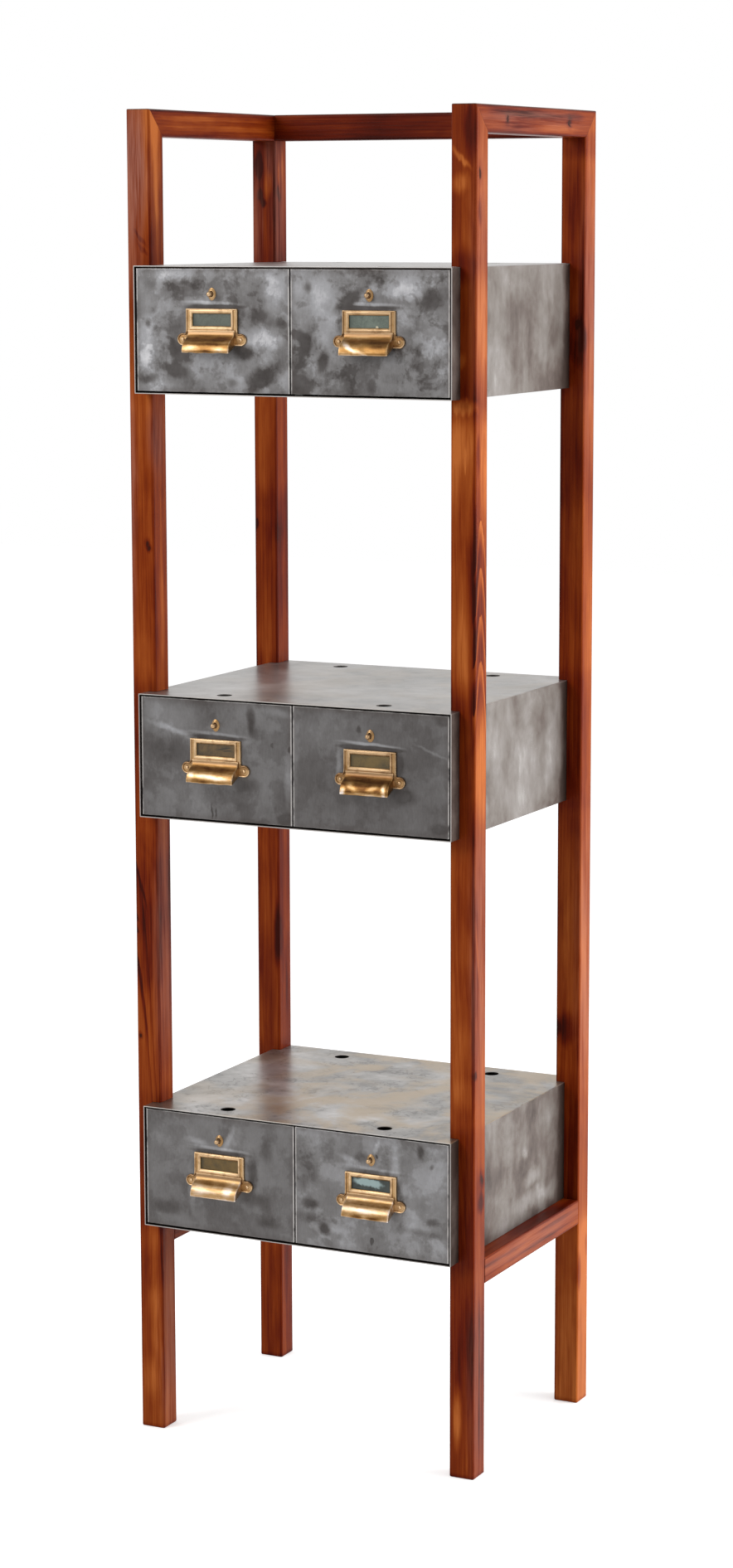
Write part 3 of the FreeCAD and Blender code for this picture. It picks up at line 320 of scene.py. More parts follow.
# darker bands on the posts just above and below each steel unit: partly stain, partly painted contact shade
stainAndShadeNearUnits = tuple((unitLow[unit] - 0.012, unitHigh[unit] + 0.014, 0.012, -0.10) for unit in units)
woodPieces = {
    "front_left_post": dict(
        along="Z", tone=0.60, rightTone=0.54, heart=(-0.300, -0.190), lean=(0.010, 0.0), seed=2.0, mitres=[frontMitre], lively=1.2,
        bands=stainAndShadeNearUnits + ((0.30, 0.92, 0.02, -0.12), (-0.1, 0.27, 0.02, 0.08)),
        front=[(36, 1800, 3, 110, 0, -0.35), (20, 1738, 13, 3, -50, -0.30), (24, 1722, 11, 3, -50, -0.25),
               (3, 1600, 4, 90, 0, 0.15), (9, 817, 2.2, 34, 15, -0.30), (8, 660, 2.2, 58, 8, -0.30),
               (0, 764, 4, 5, 0, -0.5), (0, 744, 4, 4, 0, -0.5), (16, 75, 12, 28, 0, 0.22), (18, 240, 22, 30, 0, -0.2),
               (20, 1150, 14, 50, 0, 0.10)],
        right=[(30, 1835, 9, 70, 0, -0.35), (14, 1850, 20, 100, 0, 0.48), (18, 1210, 7, 90, 0, 0.22),
               (10, 1465, 14, 40, 0, -0.18), (16, 500, 16, 45, 0, 0.15), (30, 780, 8, 120, 0, -0.15)],
        frontBloomAndSheen=[(14, 1835, 17, 80, 0, 0.85), (10, 1715, 12, 50, 0, 0.4), (3, 1415, 8, 95, 0, 0.45), (2, 1250, 5, 80, 0, 0.3)],
        rightBloomAndSheen=[(16, 1465, 20, 50, 0, 0.35), (18, 740, 22, 190, 0, 0.32), (18, 120, 20, 130, 0, 0.40)],
        knots=[("front", 27, 1309, 2.8, 1.4), ("front", 30, 1302, 2.4, 1.3), ("front", 6, 592, 2.2, 1.4)],
        flames=[("front", -2, 853, 135, 2, 0.30, -0.25)]),
    "front_right_post": dict(
        along="Z", tone=0.50, rightTone=0.68, heart=(0.283, -0.150), lean=(0.022, 0.004), seed=4.0, wander=0.020,
        mitres=[frontMitre], lively=0.95,
        bands=stainAndShadeNearUnits + ((1.70, 1.95, 0.02, -0.05), (1.13, 1.50, 0.02, 0.28), (0.50, 0.92, 0.02, 0.06), (-0.1, 0.27, 0.02, -0.04)),
        front=[(15, 1845, 18, 4, -45, 0.45), (14, 1812, 12, 13, 0, 0.35), (29, 1885, 11, 38, 0, -0.40), (20, 1702, 18, 22, 0, -0.25),
               (14, 1575, 8, 10, 0, 0.3), (6, 1552, 7, 10, 0, 0.3), (18, 1511, 24, 9, 0, 0.45), (18, 1462, 16, 28, 0, 0.15),
               (22, 1439, 1.2, 14, 0, 0.45), (18, 1340, 20, 70, 0, -0.15), (19, 1181, 15, 48, 0, 0.12),
               (36, 1340, 2.5, 200, 0, -0.30), (36, 700, 2.5, 220, 0, -0.30), (22, 765, 14, 30, 0, 0.12),
               (20, 606, 14, 50, 0, 0.15), (20, 559, 15, 20, 0, 0.18), (13, 88, 6, 38, 0, 0.50), (26, 170, 10, 80, 0, -0.2)],
        right=[(11, 1774, 6, 18, 0, -0.40), (8, 1447, 6, 22, 0, -0.35), (17, 1250, 30, 130, 0, -0.55), (5, 584, 4, 6, 0, -0.5),
               (23, 398, 10, 12, 0, -0.3), (20, 420, 12, 30, 0, -0.15), (19, 140, 2.5, 110, 0, -0.30), (19, 1020, 22, 80, 0, 0.35), (19, 1610, 22, 70, 0, 0.28), (19, 140, 24, 120, 0, -0.26),
               (9, 760, 3, 40, 8, 0.3), (22, 1600, 16, 60, 0, 0.10), (19, 750, 20, 170, 0, -0.16)],
        rightBloomAndSheen=[(19, 1700, 20, 180, 0, 0.30), (19, 760, 22, 170, 0, 0.40), (19, 130, 22, 150, 0, 0.25)],
        knots=[("right", 11, 1825, 3.6, 2.3), ("right", 26, 432, 4.5, 1.5)],
        flames=[("right", 17, 1360, 64, 4, 0.27, 0.55)]),
    "back_left_post": dict(
        along="Z", tone=0.45, rightTone=0.38, heart=(-0.215, 0.150), lean=(0.006, 0.0), seed=6.0, mitres=[backMitre],
        bands=stainAndShadeNearUnits + ((1.70, 1.93, 0.03, -0.13), (1.29, 1.36, 0.02, -0.15), (0.52, 0.90, 0.02, 0.02)),
        front=[(11, 1842, 6, 17, 0, -0.45), (13, 1797, 5, 8, 0, -0.4), (19, 1787, 4, 6, 0, -0.4), (27, 1815, 6, 17, 0, 0.35),
               (2, 1307, 4, 7, 0, -0.6), (34, 677, 5, 44, 0, -0.45), (16, 1440, 12, 60, 0, 0.10), (18, 1140, 14, 60, 0, 0.10)],
        right=[(9, 1803, 4, 7, 0, -0.4), (14, 1797, 4, 6, 0, -0.4), (12, 1830, 3, 16, 0, 0.35), (24, 1840, 3, 20, 0, 0.3)],
        frontBloomAndSheen=[(8, 1760, 8, 70, 0, 0.35), (30, 1860, 8, 40, 0, 0.25)],
        rightBloomAndSheen=[(14, 1770, 14, 110, 0, 0.30)],
        knots=[("front", 1, 1307, 2.5, 1.5)]),
    "back_right_post": dict(
        along="Z", tone=0.45, rightTone=0.68, heart=(0.290, 0.240), lean=(-0.01, 0.0), seed=8.0, mitres=[backMitre],
        bands=stainAndShadeNearUnits + ((1.85, 1.885, 0.01, -0.20), (1.34, 1.44, 0.03, -0.14), (0.60, 0.87, 0.03, 0.08), (-0.1, 0.28, 0.02, 0.30)),
        front=[(14, 1790, 14, 50, 0, -0.12), (20, 1580, 12, 26, 30, -0.25), (16, 1660, 10, 30, 0, 0.12), (18, 740, 10, 110, 0, 0.15),
               (14, 576, 16, 22, 0, -0.30), (20, 100, 12, 60, 0, 0.12)],
        right=[(4, 1591, 6, 16, 0, -0.35), (30, 240, 3, 22, 0, -0.3), (6, 203, 6, 24, 0, -0.35), (18, 1790, 18, 80, 0, 0.12)],
        rightBloomAndSheen=[(20, 1650, 20, 200, 0, 0.42), (20, 700, 22, 200, 0, 0.42)],
        knots=[("front", 28, 1612, 4.5, 1.6), ("front", 0, 574, 4.5, 1.3)]),
    "left_top_rail": dict(
        along="Y", tone=0.32, rightTone=0.32, heart=(-0.22, top - 0.05), lean=(0.01, 0.0), seed=10.0,
        mitres=[frontMitre, backMitre], lively=1.2, right=[(120, 26, 60, 4, 0, 0.25), (260, 14, 80, 4, 0, 0.25)]),
    "right_top_rail": dict(
        along="Y", tone=0.40, rightTone=0.44, heart=(0.24, top + 0.02), lean=(0.02, 0.0), seed=12.0, mitres=[frontMitre, backMitre],
        right=[(180, 27, 110, 5, 0, -0.40), (330, 28, 30, 5, 0, -0.25), (270, 9, 60, 6, 0, 0.30), (60, 12, 40, 6, 0, 0.15)],
        rightBloomAndSheen=[(180, 20, 170, 16, 0, 0.35)],
        knots=[("right", 100, 20, 4.2, 1.1), ("right", 313, 18, 4.6, 1.1)]),
    "back_top_rail": dict(along="X", tone=0.27, rightTone=0.27, heart=(0.22, top - 0.06), seed=14.0,
                          front=[(120, 19, 120, 24, 0, -0.10)]),
    "left_stretcher": dict(along="Y", tone=0.45, rightTone=0.45, heart=(-0.20, 0.25), seed=16.0),
    "right_stretcher": dict(along="Y", tone=0.30, rightTone=0.50, heart=(0.28, 0.24), seed=18.0,
                            right=[(60, 24, 90, 3, 0, -0.40), (180, 12, 110, 3, 0, -0.40), (250, 26, 60, 3, 0, -0.35)],
                            rightBloomAndSheen=[(160, 20, 160, 16, 0, 0.40)]),
}


def coat(node, material):
    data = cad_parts[node].data
    data.materials.clear()
    data.materials.append(material)


for node, look in woodPieces.items():
    coat(node, stainedPine(node, **look))
print("stained pine on", len(woodPieces), "pieces")


# Steel: mottled drawer fronts with bright edges. Marks are in mm from the front's middle.

steel = {
    "stops": ((0.0, (0.032, 0.027, 0.025)), (0.25, (0.082, 0.076, 0.074)), (0.5, (0.156, 0.151, 0.151)),
              (0.75, (0.253, 0.252, 0.260)), (1.0, (0.479, 0.473, 0.486))),
    # pale steel of the worn front edges, also used for the painted highlight on the case rim
    "edge": (0.548, 0.527, 0.507),
    "rust": (0.041, 0.027, 0.021),
    "metallic": 0.85,
}
# The dark marks at 42 to 54 mm across and from 12 mm up to 32 mm down are painted shadow of the pull, to its right and
# below it.
frontLooks = {
    "top_left": dict(level=0.48, contrast=1.05, blotch=0.8, frameShadowAndReflection=0.6, seed=1.0,
                     marks=[(-61, 77, 25, 9, 0, 0.30), (-105, -17, 13, 38, 0, 0.30), (95, 59, 13, 28, 0, 0.25),
                            (80, -10, 26, 13, 0, 0.34), (-100, -77, 22, 14, 0, 0.30), (-104, -45, 14, 24, 0, 0.10), (-103, 9, 4, 6, 0, -0.45),
                            (-57, 55, 24, 14, 10, -0.22), (-51, -30, 15, 10, -20, -0.50), (-63, -54, 20, 8, -15, -0.45),
                            (-104, -67, 12, 6, 0, -0.4), (80, -62, 30, 12, 25, -0.45), (70, 22, 14, 7, 0, -0.3),
                            (109, 14, 7, 8, 0, -0.3), (31, -71, 8, 5, 0, -0.3), (50, -28, 14, 9, 0, -0.4)]),
    "top_right": dict(level=0.46, contrast=1.05, blotch=0.9, frameShadowAndReflection=0.6, seed=3.0,
                      marks=[(-70, 20, 26, 40, 0, 0.25), (-90, -55, 14, 20, 0, 0.2), (60, 60, 40, 12, 0, 0.25),
                             (95, -20, 18, 50, 0, 0.13), (-32, 42, 20, 7, 35, -0.5), (-106, -6, 13, 7, -20, -0.5),
                             (-99, -21, 8, 24, -20, -0.55), (-72, -43, 7, 15, -20, -0.45), (-94, 61, 5, 7, 0, -0.4),
                             (-104, -71, 20, 8, 0, -0.45), (-30, -56, 34, 24, 0, -0.06), (50, -60, 30, 16, 10, -0.12),
                             (90, 45, 22, 12, 20, -0.3)]),
    "middle_left": dict(level=0.315, contrast=0.45, blotch=0.1, frameShadowAndReflection=0.5, seed=5.0,
                        marks=[(-70, 59, 45, 26, -12, 0.22), (-68, 40, 36, 4, -16, 0.28), (56, 62, 6, 15, 5, -0.35),
                               (61, 42, 12, 8, 0, -0.22), (90, 28, 2, 3, 0, -0.3), (-80, 18, 30, 18, 0, -0.12),
                               (52, -32, 16, 9, 0, -0.2), (-7, -74, 1.2, 8, 0, -0.4), (-1, -74, 1.2, 6, 0, -0.35),
                               (111, -77, 12, 7, 0, -0.35), (116, -20, 5, 30, 0, 0.25), (97, 75, 20, 6, -10, 0.2),
                               (-46, -50, 42, 24, 0, 0.08), (118, 22, 2, 4, 0, -0.4)]),
    "middle_right": dict(level=0.29, contrast=0.32, blotch=0.1, frameShadowAndReflection=0.9, seed=7.0,
                         marks=[(93, 34, 22, 1.6, -20, 0.16), (-18, 59, 2.5, 5, 0, -0.3), (-48, 10, 4, 20, 0, 0.25),
                                (44, 12, 7, 15, 0, -0.25), (54, -32, 16, 9, 0, -0.2), (106, -73, 13, 6, 0, -0.25),
                                (110, 78, 11, 6, 0, -0.2), (-60, 50, 50, 24, 0, 0.08), (-118, 0, 4, 70, 0, 0.12)]),
    "bottom_left": dict(level=0.36, contrast=0.40, blotch=0.1, frameShadowAndReflection=0.5, seed=9.0,
                        marks=[(14, 54, 4, 20, -28, 0.20), (22, 52, 9, 20, -28, 0.12), (-36, 46, 16, 4, -14, 0.22),
                               (-46, -20, 5, 28, 0, 0.18), (-87, -58, 24, 9, -5, -0.22), (54, 8, 7, 24, 0, -0.28),
                               (53, -29, 16, 9, 0, -0.2), (75, 45, 8, 14, 0, -0.18), (72, -33, 9, 14, 0, -0.18),
                               (80, -60, 15, 8, 0, -0.18), (-97, 52, 22, 13, 0, 0.08)]),
    "bottom_right": dict(level=0.54, contrast=0.70, blotch=0.4, frameShadowAndReflection=0.35, seed=11.0,
                         marks=[(8, 69, 2.5, 10, -15, 0.22), (8.5, 57, 2, 2, 0, -0.6), (-15, 52, 8, 8, 0, -0.28),
                                (-104, 30, 13, 30, 0, -0.26), (-97, -24, 11, 7, 0, -0.40), (-75, -59, 8, 7, 0, -0.6),
                                (1.5, -67, 2.2, 4.5, 0, -0.6), (78, 70, 5, 10, 0, -0.35), (95, 51, 3, 4, 0, -0.3),
                                (38, 41, 7, 28, 0, 0.28), (42, 11, 6, 18, 10, -0.32), (96, -29, 9, 4, 0, -0.28),
                                (-34, 48, 16, 4, -14, 0.25), (-82, -47, 34, 6, -4, -0.15), (84, -46, 28, 5, -4, -0.2),
                                (60, -20, 14, 30, 0, 0.12)]),
}


def frontSteel(name, look, lowCorner, highCorner):
    paint = Paint("frontSteel_" + name)
    middle = [(lowCorner[i] + highCorner[i]) / 2 for i in range(3)]
    half = [(highCorner[i] - lowCorner[i]) / 2 for i in range(3)]
    face = (middle[0], lowCorner[1], middle[2])
    x, z = paint.parts["X"] - middle[0], paint.parts["Z"] - middle[2]
    seed = look["seed"]
    torn = paint.ragged((0.011, 0, 0.011), 48, seed)
    gently = paint.ragged((0.002, 0, 0.005), 24, seed + 1)
    broad = paint.cloud(10, 3, 0.5, 0.2, seed=seed)
    small = paint.cloud(40, 4, 0.62, 0.0, seed=seed + 2)
    fine = paint.cloud(420, 2, 0.6, seed=seed, stretch=(1, 1, 0.3))
    shade = ((broad - 0.5) * 0.85 + (small - 0.5) * 0.55) * look["contrast"] + (fine - 0.5) * 0.12 + look["level"]
    shade = paint.marks(shade, "front", face, look["marks"], torn, 0.75)
    # a pale arc and a darker band just above the label frame: painted reflection and painted shadow of the frame
    frameShadowAndReflection = look["frameShadowAndReflection"]
    shade = paint.marks(shade, "front", face, [(0, 38.5, 42, 2.4, -2, frameShadowAndReflection * 0.4), (0, 33.0, 41, 3.4, 0, frameShadowAndReflection * -0.7)], gently, 0.5)
    blotches = paint.cloud(26, 4, 0.65, 0.3, seed=seed + 6).rise(0.54, 0.64)
    scoured = paint.cloud(19, 5, 0.62, 0.1, seed=seed + 12).rise(0.46, 0.55)
    shade = shade - blotches * (look["blotch"] * 0.24) + (scoured - 0.5) * (look["contrast"] * 0.20)
    shade = shade.most((small - 0.3) * 0.45 + 0.04)
    colour = paint.ramp(shade, steel["stops"])
    pits = paint.cells(330, seed=seed).fall(0.05, 0.16) * paint.cloud(30, 3, 0.6, seed=seed + 6).rise(0.58, 0.68)
    colour = paint.blend(pits * 0.8, colour, steel["rust"])
    rimX, rimZ = half[0] - abs(x), half[2] - abs(z)
    patchy = paint.cloud(60, 2, seed=seed + 8)
    paleEdge = (rimX.fall(0.0012, 0.0024, 0.75) * patchy.rise(0.25, 0.55)).most(rimZ.fall(0.0004, 0.0010, 0.4) * patchy.rise(0.35, 0.6))
    colour = paint.blend(paleEdge, colour, steel["edge"])
    colour = paint.blend(rimX.least(rimZ).fall(0.002, 0.010, 0.18), colour, steel["rust"])
    roughness = (small - 0.5) * 0.25 + shade * -0.08 + 0.46
    height = small * 0.3 + fine * 0.5 - pits * 1.5
    return paint.finish(colour, roughness, steel["metallic"], height, 0.0001)


for unit in units:
    for side in sides:
        name = unit + "_" + side
        coat(name + "_front", frontSteel(name, frontLooks[name], *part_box(name + "_front")))
print("drawer fronts painted")


# Cases: brushed tops, smeared sides with painted shade beside the back post, and a painted highlight on the rim round
# the front.
# Side marks are in mm from the low front corner, top marks from the front left corner.

caseLooks = {
    "top": dict(seed=2.0, level=0.53, smear=1.6, topLevel=0.52, mottle=0.5, stain=0.0,
                side=[(300, 120, 40, 40, 0, 0.12), (340, 40, 50, 22, 0, 0.10)]),
    "middle": dict(seed=4.0, level=0.56, smear=1.6, topLevel=0.34, mottle=1.0, stain=0.2,
                   side=[(260, 90, 30, 60, 0, 0.12), (330, 60, 24, 50, 0, 0.10)],
                   top=[(230, 290, 50, 16, 0, -0.14), (90, 150, 70, 110, 0, 0.24)]),
    "bottom": dict(seed=6.0, level=0.35, smear=1.9, topLevel=0.36, mottle=1.8, stain=0.8,
                   side=[(280, 62, 22, 12, 0, 0.42), (255, 105, 8, 10, 0, 0.42), (300, 28, 70, 12, 0, 0.35), (330, 130, 40, 20, 0, 0.12)],
                   top=[(90, 150, 70, 110, 0, 0.22), (250, 190, 60, 26, 10, -0.22), (300, 130, 60, 20, 0, -0.14),
                        (120, 40, 60, 26, 8, -0.16), (330, 60, 120, 30, 0, 0.18), (360, 300, 60, 20, -10, 0.16)]),
}
caseColours = {
    "topStops": ((0.0, (0.16, 0.150, 0.140)), (0.5, (0.345, 0.328, 0.314)), (1.0, (0.56, 0.54, 0.53))),
    "sideStops": ((0.0, (0.056, 0.039, 0.032)), (0.3, (0.127, 0.100, 0.087)), (0.5, (0.186, 0.163, 0.146)),
                  (0.75, (0.257, 0.235, 0.221)), (1.0, (0.410, 0.393, 0.376))),
    "stain": (0.40, 0.30, 0.19),
}


def caseSteel(unit, look, behind=False):
    paint = Paint(("backSteel_" if behind else "caseSteel_") + unit)
    lowCorner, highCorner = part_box(unit + "_case")
    seed = look["seed"]
    onTop = paint.parts["Z"].rise(highCorner[2] - 0.0012, highCorner[2] - 0.0004)
    brushed = paint.cloud(320, 3, 0.6, seed=seed, stretch=(0.05, 1, 1))
    clouds = paint.cloud(7, 4, 0.6, 0.4, seed=seed)
    smears = paint.cloud(14, 5, 0.62, 0.2, seed=seed + 1, stretch=(1, 1, 0.8))
    streaks = paint.cloud(50, 3, 0.55, seed=seed + 2, stretch=(1, 1, 0.22))
    torn = paint.ragged((0.02, 0.02, 0.03), 36, seed)
    washed = paint.cloud(16, 5, 0.65, 0.3, seed=seed + 8)
    topShade = ((clouds - 0.5) * 1.0 + (washed - 0.5) * 0.9) * look["mottle"] + (brushed - 0.5) * 0.25 + look["topLevel"]
    topShade = paint.marks(topShade, "top", (lowCorner[0], lowCorner[1], highCorner[2]), look.get("top", ()), torn, 0.7)
    stain = paint.cloud(9, 4, 0.6, 0.5, seed=seed + 5).rise(0.42, 0.60, look["stain"])
    stain = stain * (paint.parts["X"].rise(-0.20, -0.06, 0.6) + 0.4)
    veins = abs(paint.cloud(34, 3, 0.6, 0.6, seed=seed + 11) - 0.5).fall(0.0, 0.040, 0.50) * washed.fall(0.46, 0.54)
    topColour = paint.ramp(topShade - veins * look["stain"], caseColours["topStops"])
    topColour = paint.blend(stain, topColour, caseColours["stain"])
    y = paint.parts["Y"]
    sideShade = (smears - 0.5) * look["smear"] + (streaks - 0.5) * 0.4 + look["level"]
    if behind:
        sideShade = sideShade + 0.08
    else:
        # darker towards the front end and towards the back; the dark strip beside the back post is painted shade of the
        # post
        sideShade = sideShade + y.fall(-0.20, -0.13, -0.34) + y.rise(-0.02, 0.19, -0.12) + y.rise(0.160, 0.180, -0.44)
    sideShade = paint.marks(sideShade, "right", (highCorner[0], lowCorner[1], lowCorner[2]), look["side"], torn, 0.7)
    flecks = paint.cells(240, seed=seed).fall(0.04, 0.16) * paint.cloud(24, 3, seed=seed + 7).rise(0.54, 0.64, 0.5)
    sideColour = paint.ramp(sideShade + flecks, caseColours["sideStops"])
    colour = paint.blend(onTop, sideColour, topColour)
    # bright rim along the case's front edge: painted highlight
    colour = paint.blend(y.fall(lowCorner[1] + 0.0004, lowCorner[1] + 0.0012, 0.55), colour, steel["edge"])
    roughness = onTop * -0.14 + (clouds - 0.5) * 0.15 + (smears - 0.5) * 0.15 + 0.46
    return paint.finish(colour, roughness, 0.8, brushed * 0.4 + smears * 0.3, 0.00008)


def innerSteel(seed):
    paint = Paint("innerSteel")
    clouds = paint.cloud(12, 4, 0.6, 0.5, seed=seed)
    fine = paint.cloud(500, 2, 0.6, seed=seed, stretch=(1, 0.1, 1))
    colour = paint.ramp(clouds + (fine - 0.5) * 0.4, [(0.2, (0.14, 0.136, 0.132)), (0.8, (0.30, 0.292, 0.284))])
    return paint.finish(colour, clouds * 0.2 + 0.38, 0.8, fine, 0.00006)


inner = innerSteel(3.0)
for unit in units:
    shell = caseSteel(unit, caseLooks[unit])
    coat(unit + "_case", shell)
    coat(unit + "_back_panel", caseSteel(unit, caseLooks[unit], True))
    for part in ("partition", "runners"):
        coat(unit + "_" + part, inner)
    for side in sides:
        coat(unit + "_" + side + "_tray", inner)
print("cases painted")


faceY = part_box("top_left_front")[0][1]
lineUp = 89 * mm
knobUp = 139.5 * mm


# Brass: bright lips, browned hollows and a cup with smudges, painted dark reflections and painted highlights. Marks on
# the cup are in mm from the line under the label frame; the pale ones are painted highlights, the dark ones partly
# stains and partly painted dark reflections.

brassColours = {
    "bright": (0.642, 0.460, 0.285),
    "polished": (0.584, 0.394, 0.204),
    "body": (0.438, 0.263, 0.102),
    # cup colours run from dark brown, for painted dark reflections, to pinkish white, for painted highlights
    "cupStops": ((0.0, (0.079, 0.033, 0.011)), (0.3, (0.213, 0.111, 0.036)), (0.55, (0.371, 0.233, 0.111)),
                 (0.8, (0.521, 0.403, 0.308)), (1.0, (0.695, 0.624, 0.577))),
    "brown": (0.13, 0.058, 0.020),
}
brassLooks = {
    "top_left": dict(level=0.34, dull=0.0, seed=1.0, marks=[
        (-24, -24, 12, 4, 0, 0.45), (22, -25, 12, 3, 0, 0.35), (0, -11, 36, 2.4, 0, -0.30), (10, -18, 26, 1.5, 0, -0.25),
        (4, -27, 12, 3, 0, -0.22)]),
    "top_right": dict(level=0.37, dull=0.34, seed=2.0, marks=[
        (-24, -18, 14, 3, -35, 0.50), (-5, -26, 11, 2.5, -15, 0.45), (12, -16, 24, 6, 0, -0.16), (0, -8, 36, 2.0, 0, -0.2)]),
    "middle_left": dict(level=0.38, dull=0.10, seed=3.0, marks=[
        (0, -9, 36, 4, 0, -0.30), (-5, -21, 32, 3.0, -3, 0.36), (-31, -21, 5, 6, 0, 0.25), (15, -23, 14, 3, 0, 0.25),
        (-10, -28, 10, 2, 0, -0.25)]),
    "middle_right": dict(level=0.10, dull=0.34, seed=4.0, marks=[
        (-32, -26, 4, 6, 0, 0.75), (-18, -20, 10, 4, -30, 0.45), (0, -28, 32, 1.8, 0, 0.50), (30, -22, 3, 9, 0, 0.65),
        (12, -20, 8, 3, 20, 0.35)]),
    "bottom_left": dict(level=0.56, dull=0.12, seed=5.0, marks=[
        (-22, -20, 14, 8, 0, 0.25), (22, -18, 6, 9, -20, 0.28), (0, -10, 34, 3, 0, -0.16), (0, -28, 36, 2, 0, 0.10)]),
    "bottom_right": dict(level=0.56, dull=0.12, seed=6.0, marks=[
        (-12, -28, 9, 2.5, 0, -0.45), (14, -28, 10, 2.5, 0, -0.45), (0, -19, 32, 2.6, 0, 0.25), (0, -9, 34, 3, 0, -0.15)]),
}
pullFacts = {
    "plateHalf": 40.5, "plateTop": 30.5, "plateLow": -20.0, "plateThick": 1.6, "cornerRadius": 1.2,
    "earX": 45.75, "earH": -12.0, "earRadius": 8.5, "flareStart": 5.0, "flareAngle": 105,
    "lipWidth": 2.3, "lipRise": 1.7, "windowHalf": 30.25, "windowLow": 6.4, "windowHigh": 23.6,
    "rimHalf": 34.0, "rimLow": 1.25, "rimRise": 2.2,
    "cupHalf": 37.0, "cupRound": 1.3, "cupWall": 1.9, "cupReach": 22.9, "cupDrop": -30.0,
}
cupProfile = [(1.2, 1.2), (3.7, 1.1), (4.4, 0.6), (4.4, -0.4), (3.9, -1.2), (4.1, -3.2), (5.1, -5.8), (7.0, -8.3),
              (9.7, -10.3), (12.9, -12.0), (15.8, -13.9), (18.4, -16.4), (20.5, -19.4), (21.9, -22.8),
              (22.7, -26.3), (22.9, -28.4), (22.6, -30.0)]


def brass(name, look, lineLevel, middleX):
    paint = Paint("brass_" + name)
    seed = look["seed"]
    x = paint.parts["X"] - middleX
    h = paint.parts["Z"] - lineLevel
    out = faceY - paint.parts["Y"]
    smudges = paint.cloud(70, 4, 0.6, 0.3, seed=seed)
    tiny = paint.cloud(340, 3, 0.6, seed=seed + 1)
    reflectionBands = paint.cloud(150, 3, 0.6, seed=seed + 3, stretch=(0.16, 1, 1))
    scratches = paint.cloud(600, 2, 0.6, seed=seed, stretch=(0.08, 1, 1))
    colour = paint.ramp(smudges + (tiny - 0.5) * 0.4, [(0.30, brassColours["body"]), (0.62, brassColours["polished"])])
    groove = out.fall(0.0016, 0.0022, 0.28)
    cove = h.rise(-0.0110, -0.0085) * h.fall(-0.0020, -0.0008) * out.fall(0.0050, 0.0070, 0.72)
    stain = smudges.fall(0.34, 0.50, 0.40)
    colour = paint.blend(out.rise(0.0022, 0.0028, 0.65), colour, brassColours["bright"])
    colour = paint.blend(look["dull"], colour, brassColours["brown"])
    colour = paint.blend(groove.most(cove).most(stain), colour, brassColours["brown"])
    torn = paint.ragged((0.010, 0, 0.003), 90, seed)
    # the cup's colour: smudges, with painted dark reflection bands and painted highlight patches from the marks
    cupSmudgeAndReflection = (reflectionBands - 0.5) * 0.75 + (smudges - 0.5) * 0.45 + (tiny - 0.5) * 0.15 + look["level"]
    cupSmudgeAndReflection = paint.marks(cupSmudgeAndReflection, "front", (middleX, faceY - 0.018, lineLevel), look["marks"], torn, 0.7)
    # brighter at the cup's rounded ends and along its lower lip: painted highlights
    cupSmudgeAndReflection = cupSmudgeAndReflection + abs(x).rise(0.0345, 0.0362, 0.22) + h.fall(-0.0291, -0.0284, 0.22) - 0.06
    onCup = out.rise(0.0042, 0.0052) * h.fall(-0.0030, -0.0020) * abs(x).fall(0.0375, 0.0382)
    colour = paint.blend(onCup, colour, paint.ramp(cupSmudgeAndReflection, brassColours["cupStops"]))
    # brown in the rose's hollow round the neck: patina with painted shade of the neck and ball; the whole knob a little
    # browner
    hollow = h.rise(0.040, 0.042) * paint.gap((middleX, 0, lineLevel + knobUp - lineUp), (0.0032, 1.0, 0.0043)).fall(0.9, 1.2, 0.88)
    hollow = (hollow * out.fall(0.0040, 0.0050)).most(h.rise(0.040, 0.042, 0.28))
    colour = paint.blend(hollow, colour, brassColours["brown"])
    roughness = smudges * 0.18 + tiny * 0.1 + 0.27
    height = scratches * 0.25 + smudges * 1.6
    return paint.finish(colour, roughness, 1.0, height, 0.00018)


def newPiece(name, shape, material):
    data = bpy.data.meshes.new(name)
    shape.to_mesh(data)
    shape.free()
    data.materials.append(material)
    piece = bpy.data.objects.new(name, data)
    scene.collection.objects.link(piece)
    return piece


def smooth(piece, angle=35):
    for face in piece.data.polygons:
        face.use_smooth = True
    with bpy.context.temp_override(object=piece, active_object=piece, selected_editable_objects=[piece]):
        bpy.ops.object.shade_smooth_by_angle(angle=math.radians(angle))


def merge(name, pieces, material):
    whole = bmesh.new()
    for piece in pieces:
        evaluated = piece.evaluated_get(bpy.context.evaluated_depsgraph_get())
        whole.from_mesh(bpy.data.meshes.new_from_object(evaluated))
    for face in whole.faces:
        face.material_index = 0
    for piece in pieces:
        bpy.data.objects.remove(piece)
    return newPiece(name, whole, material)


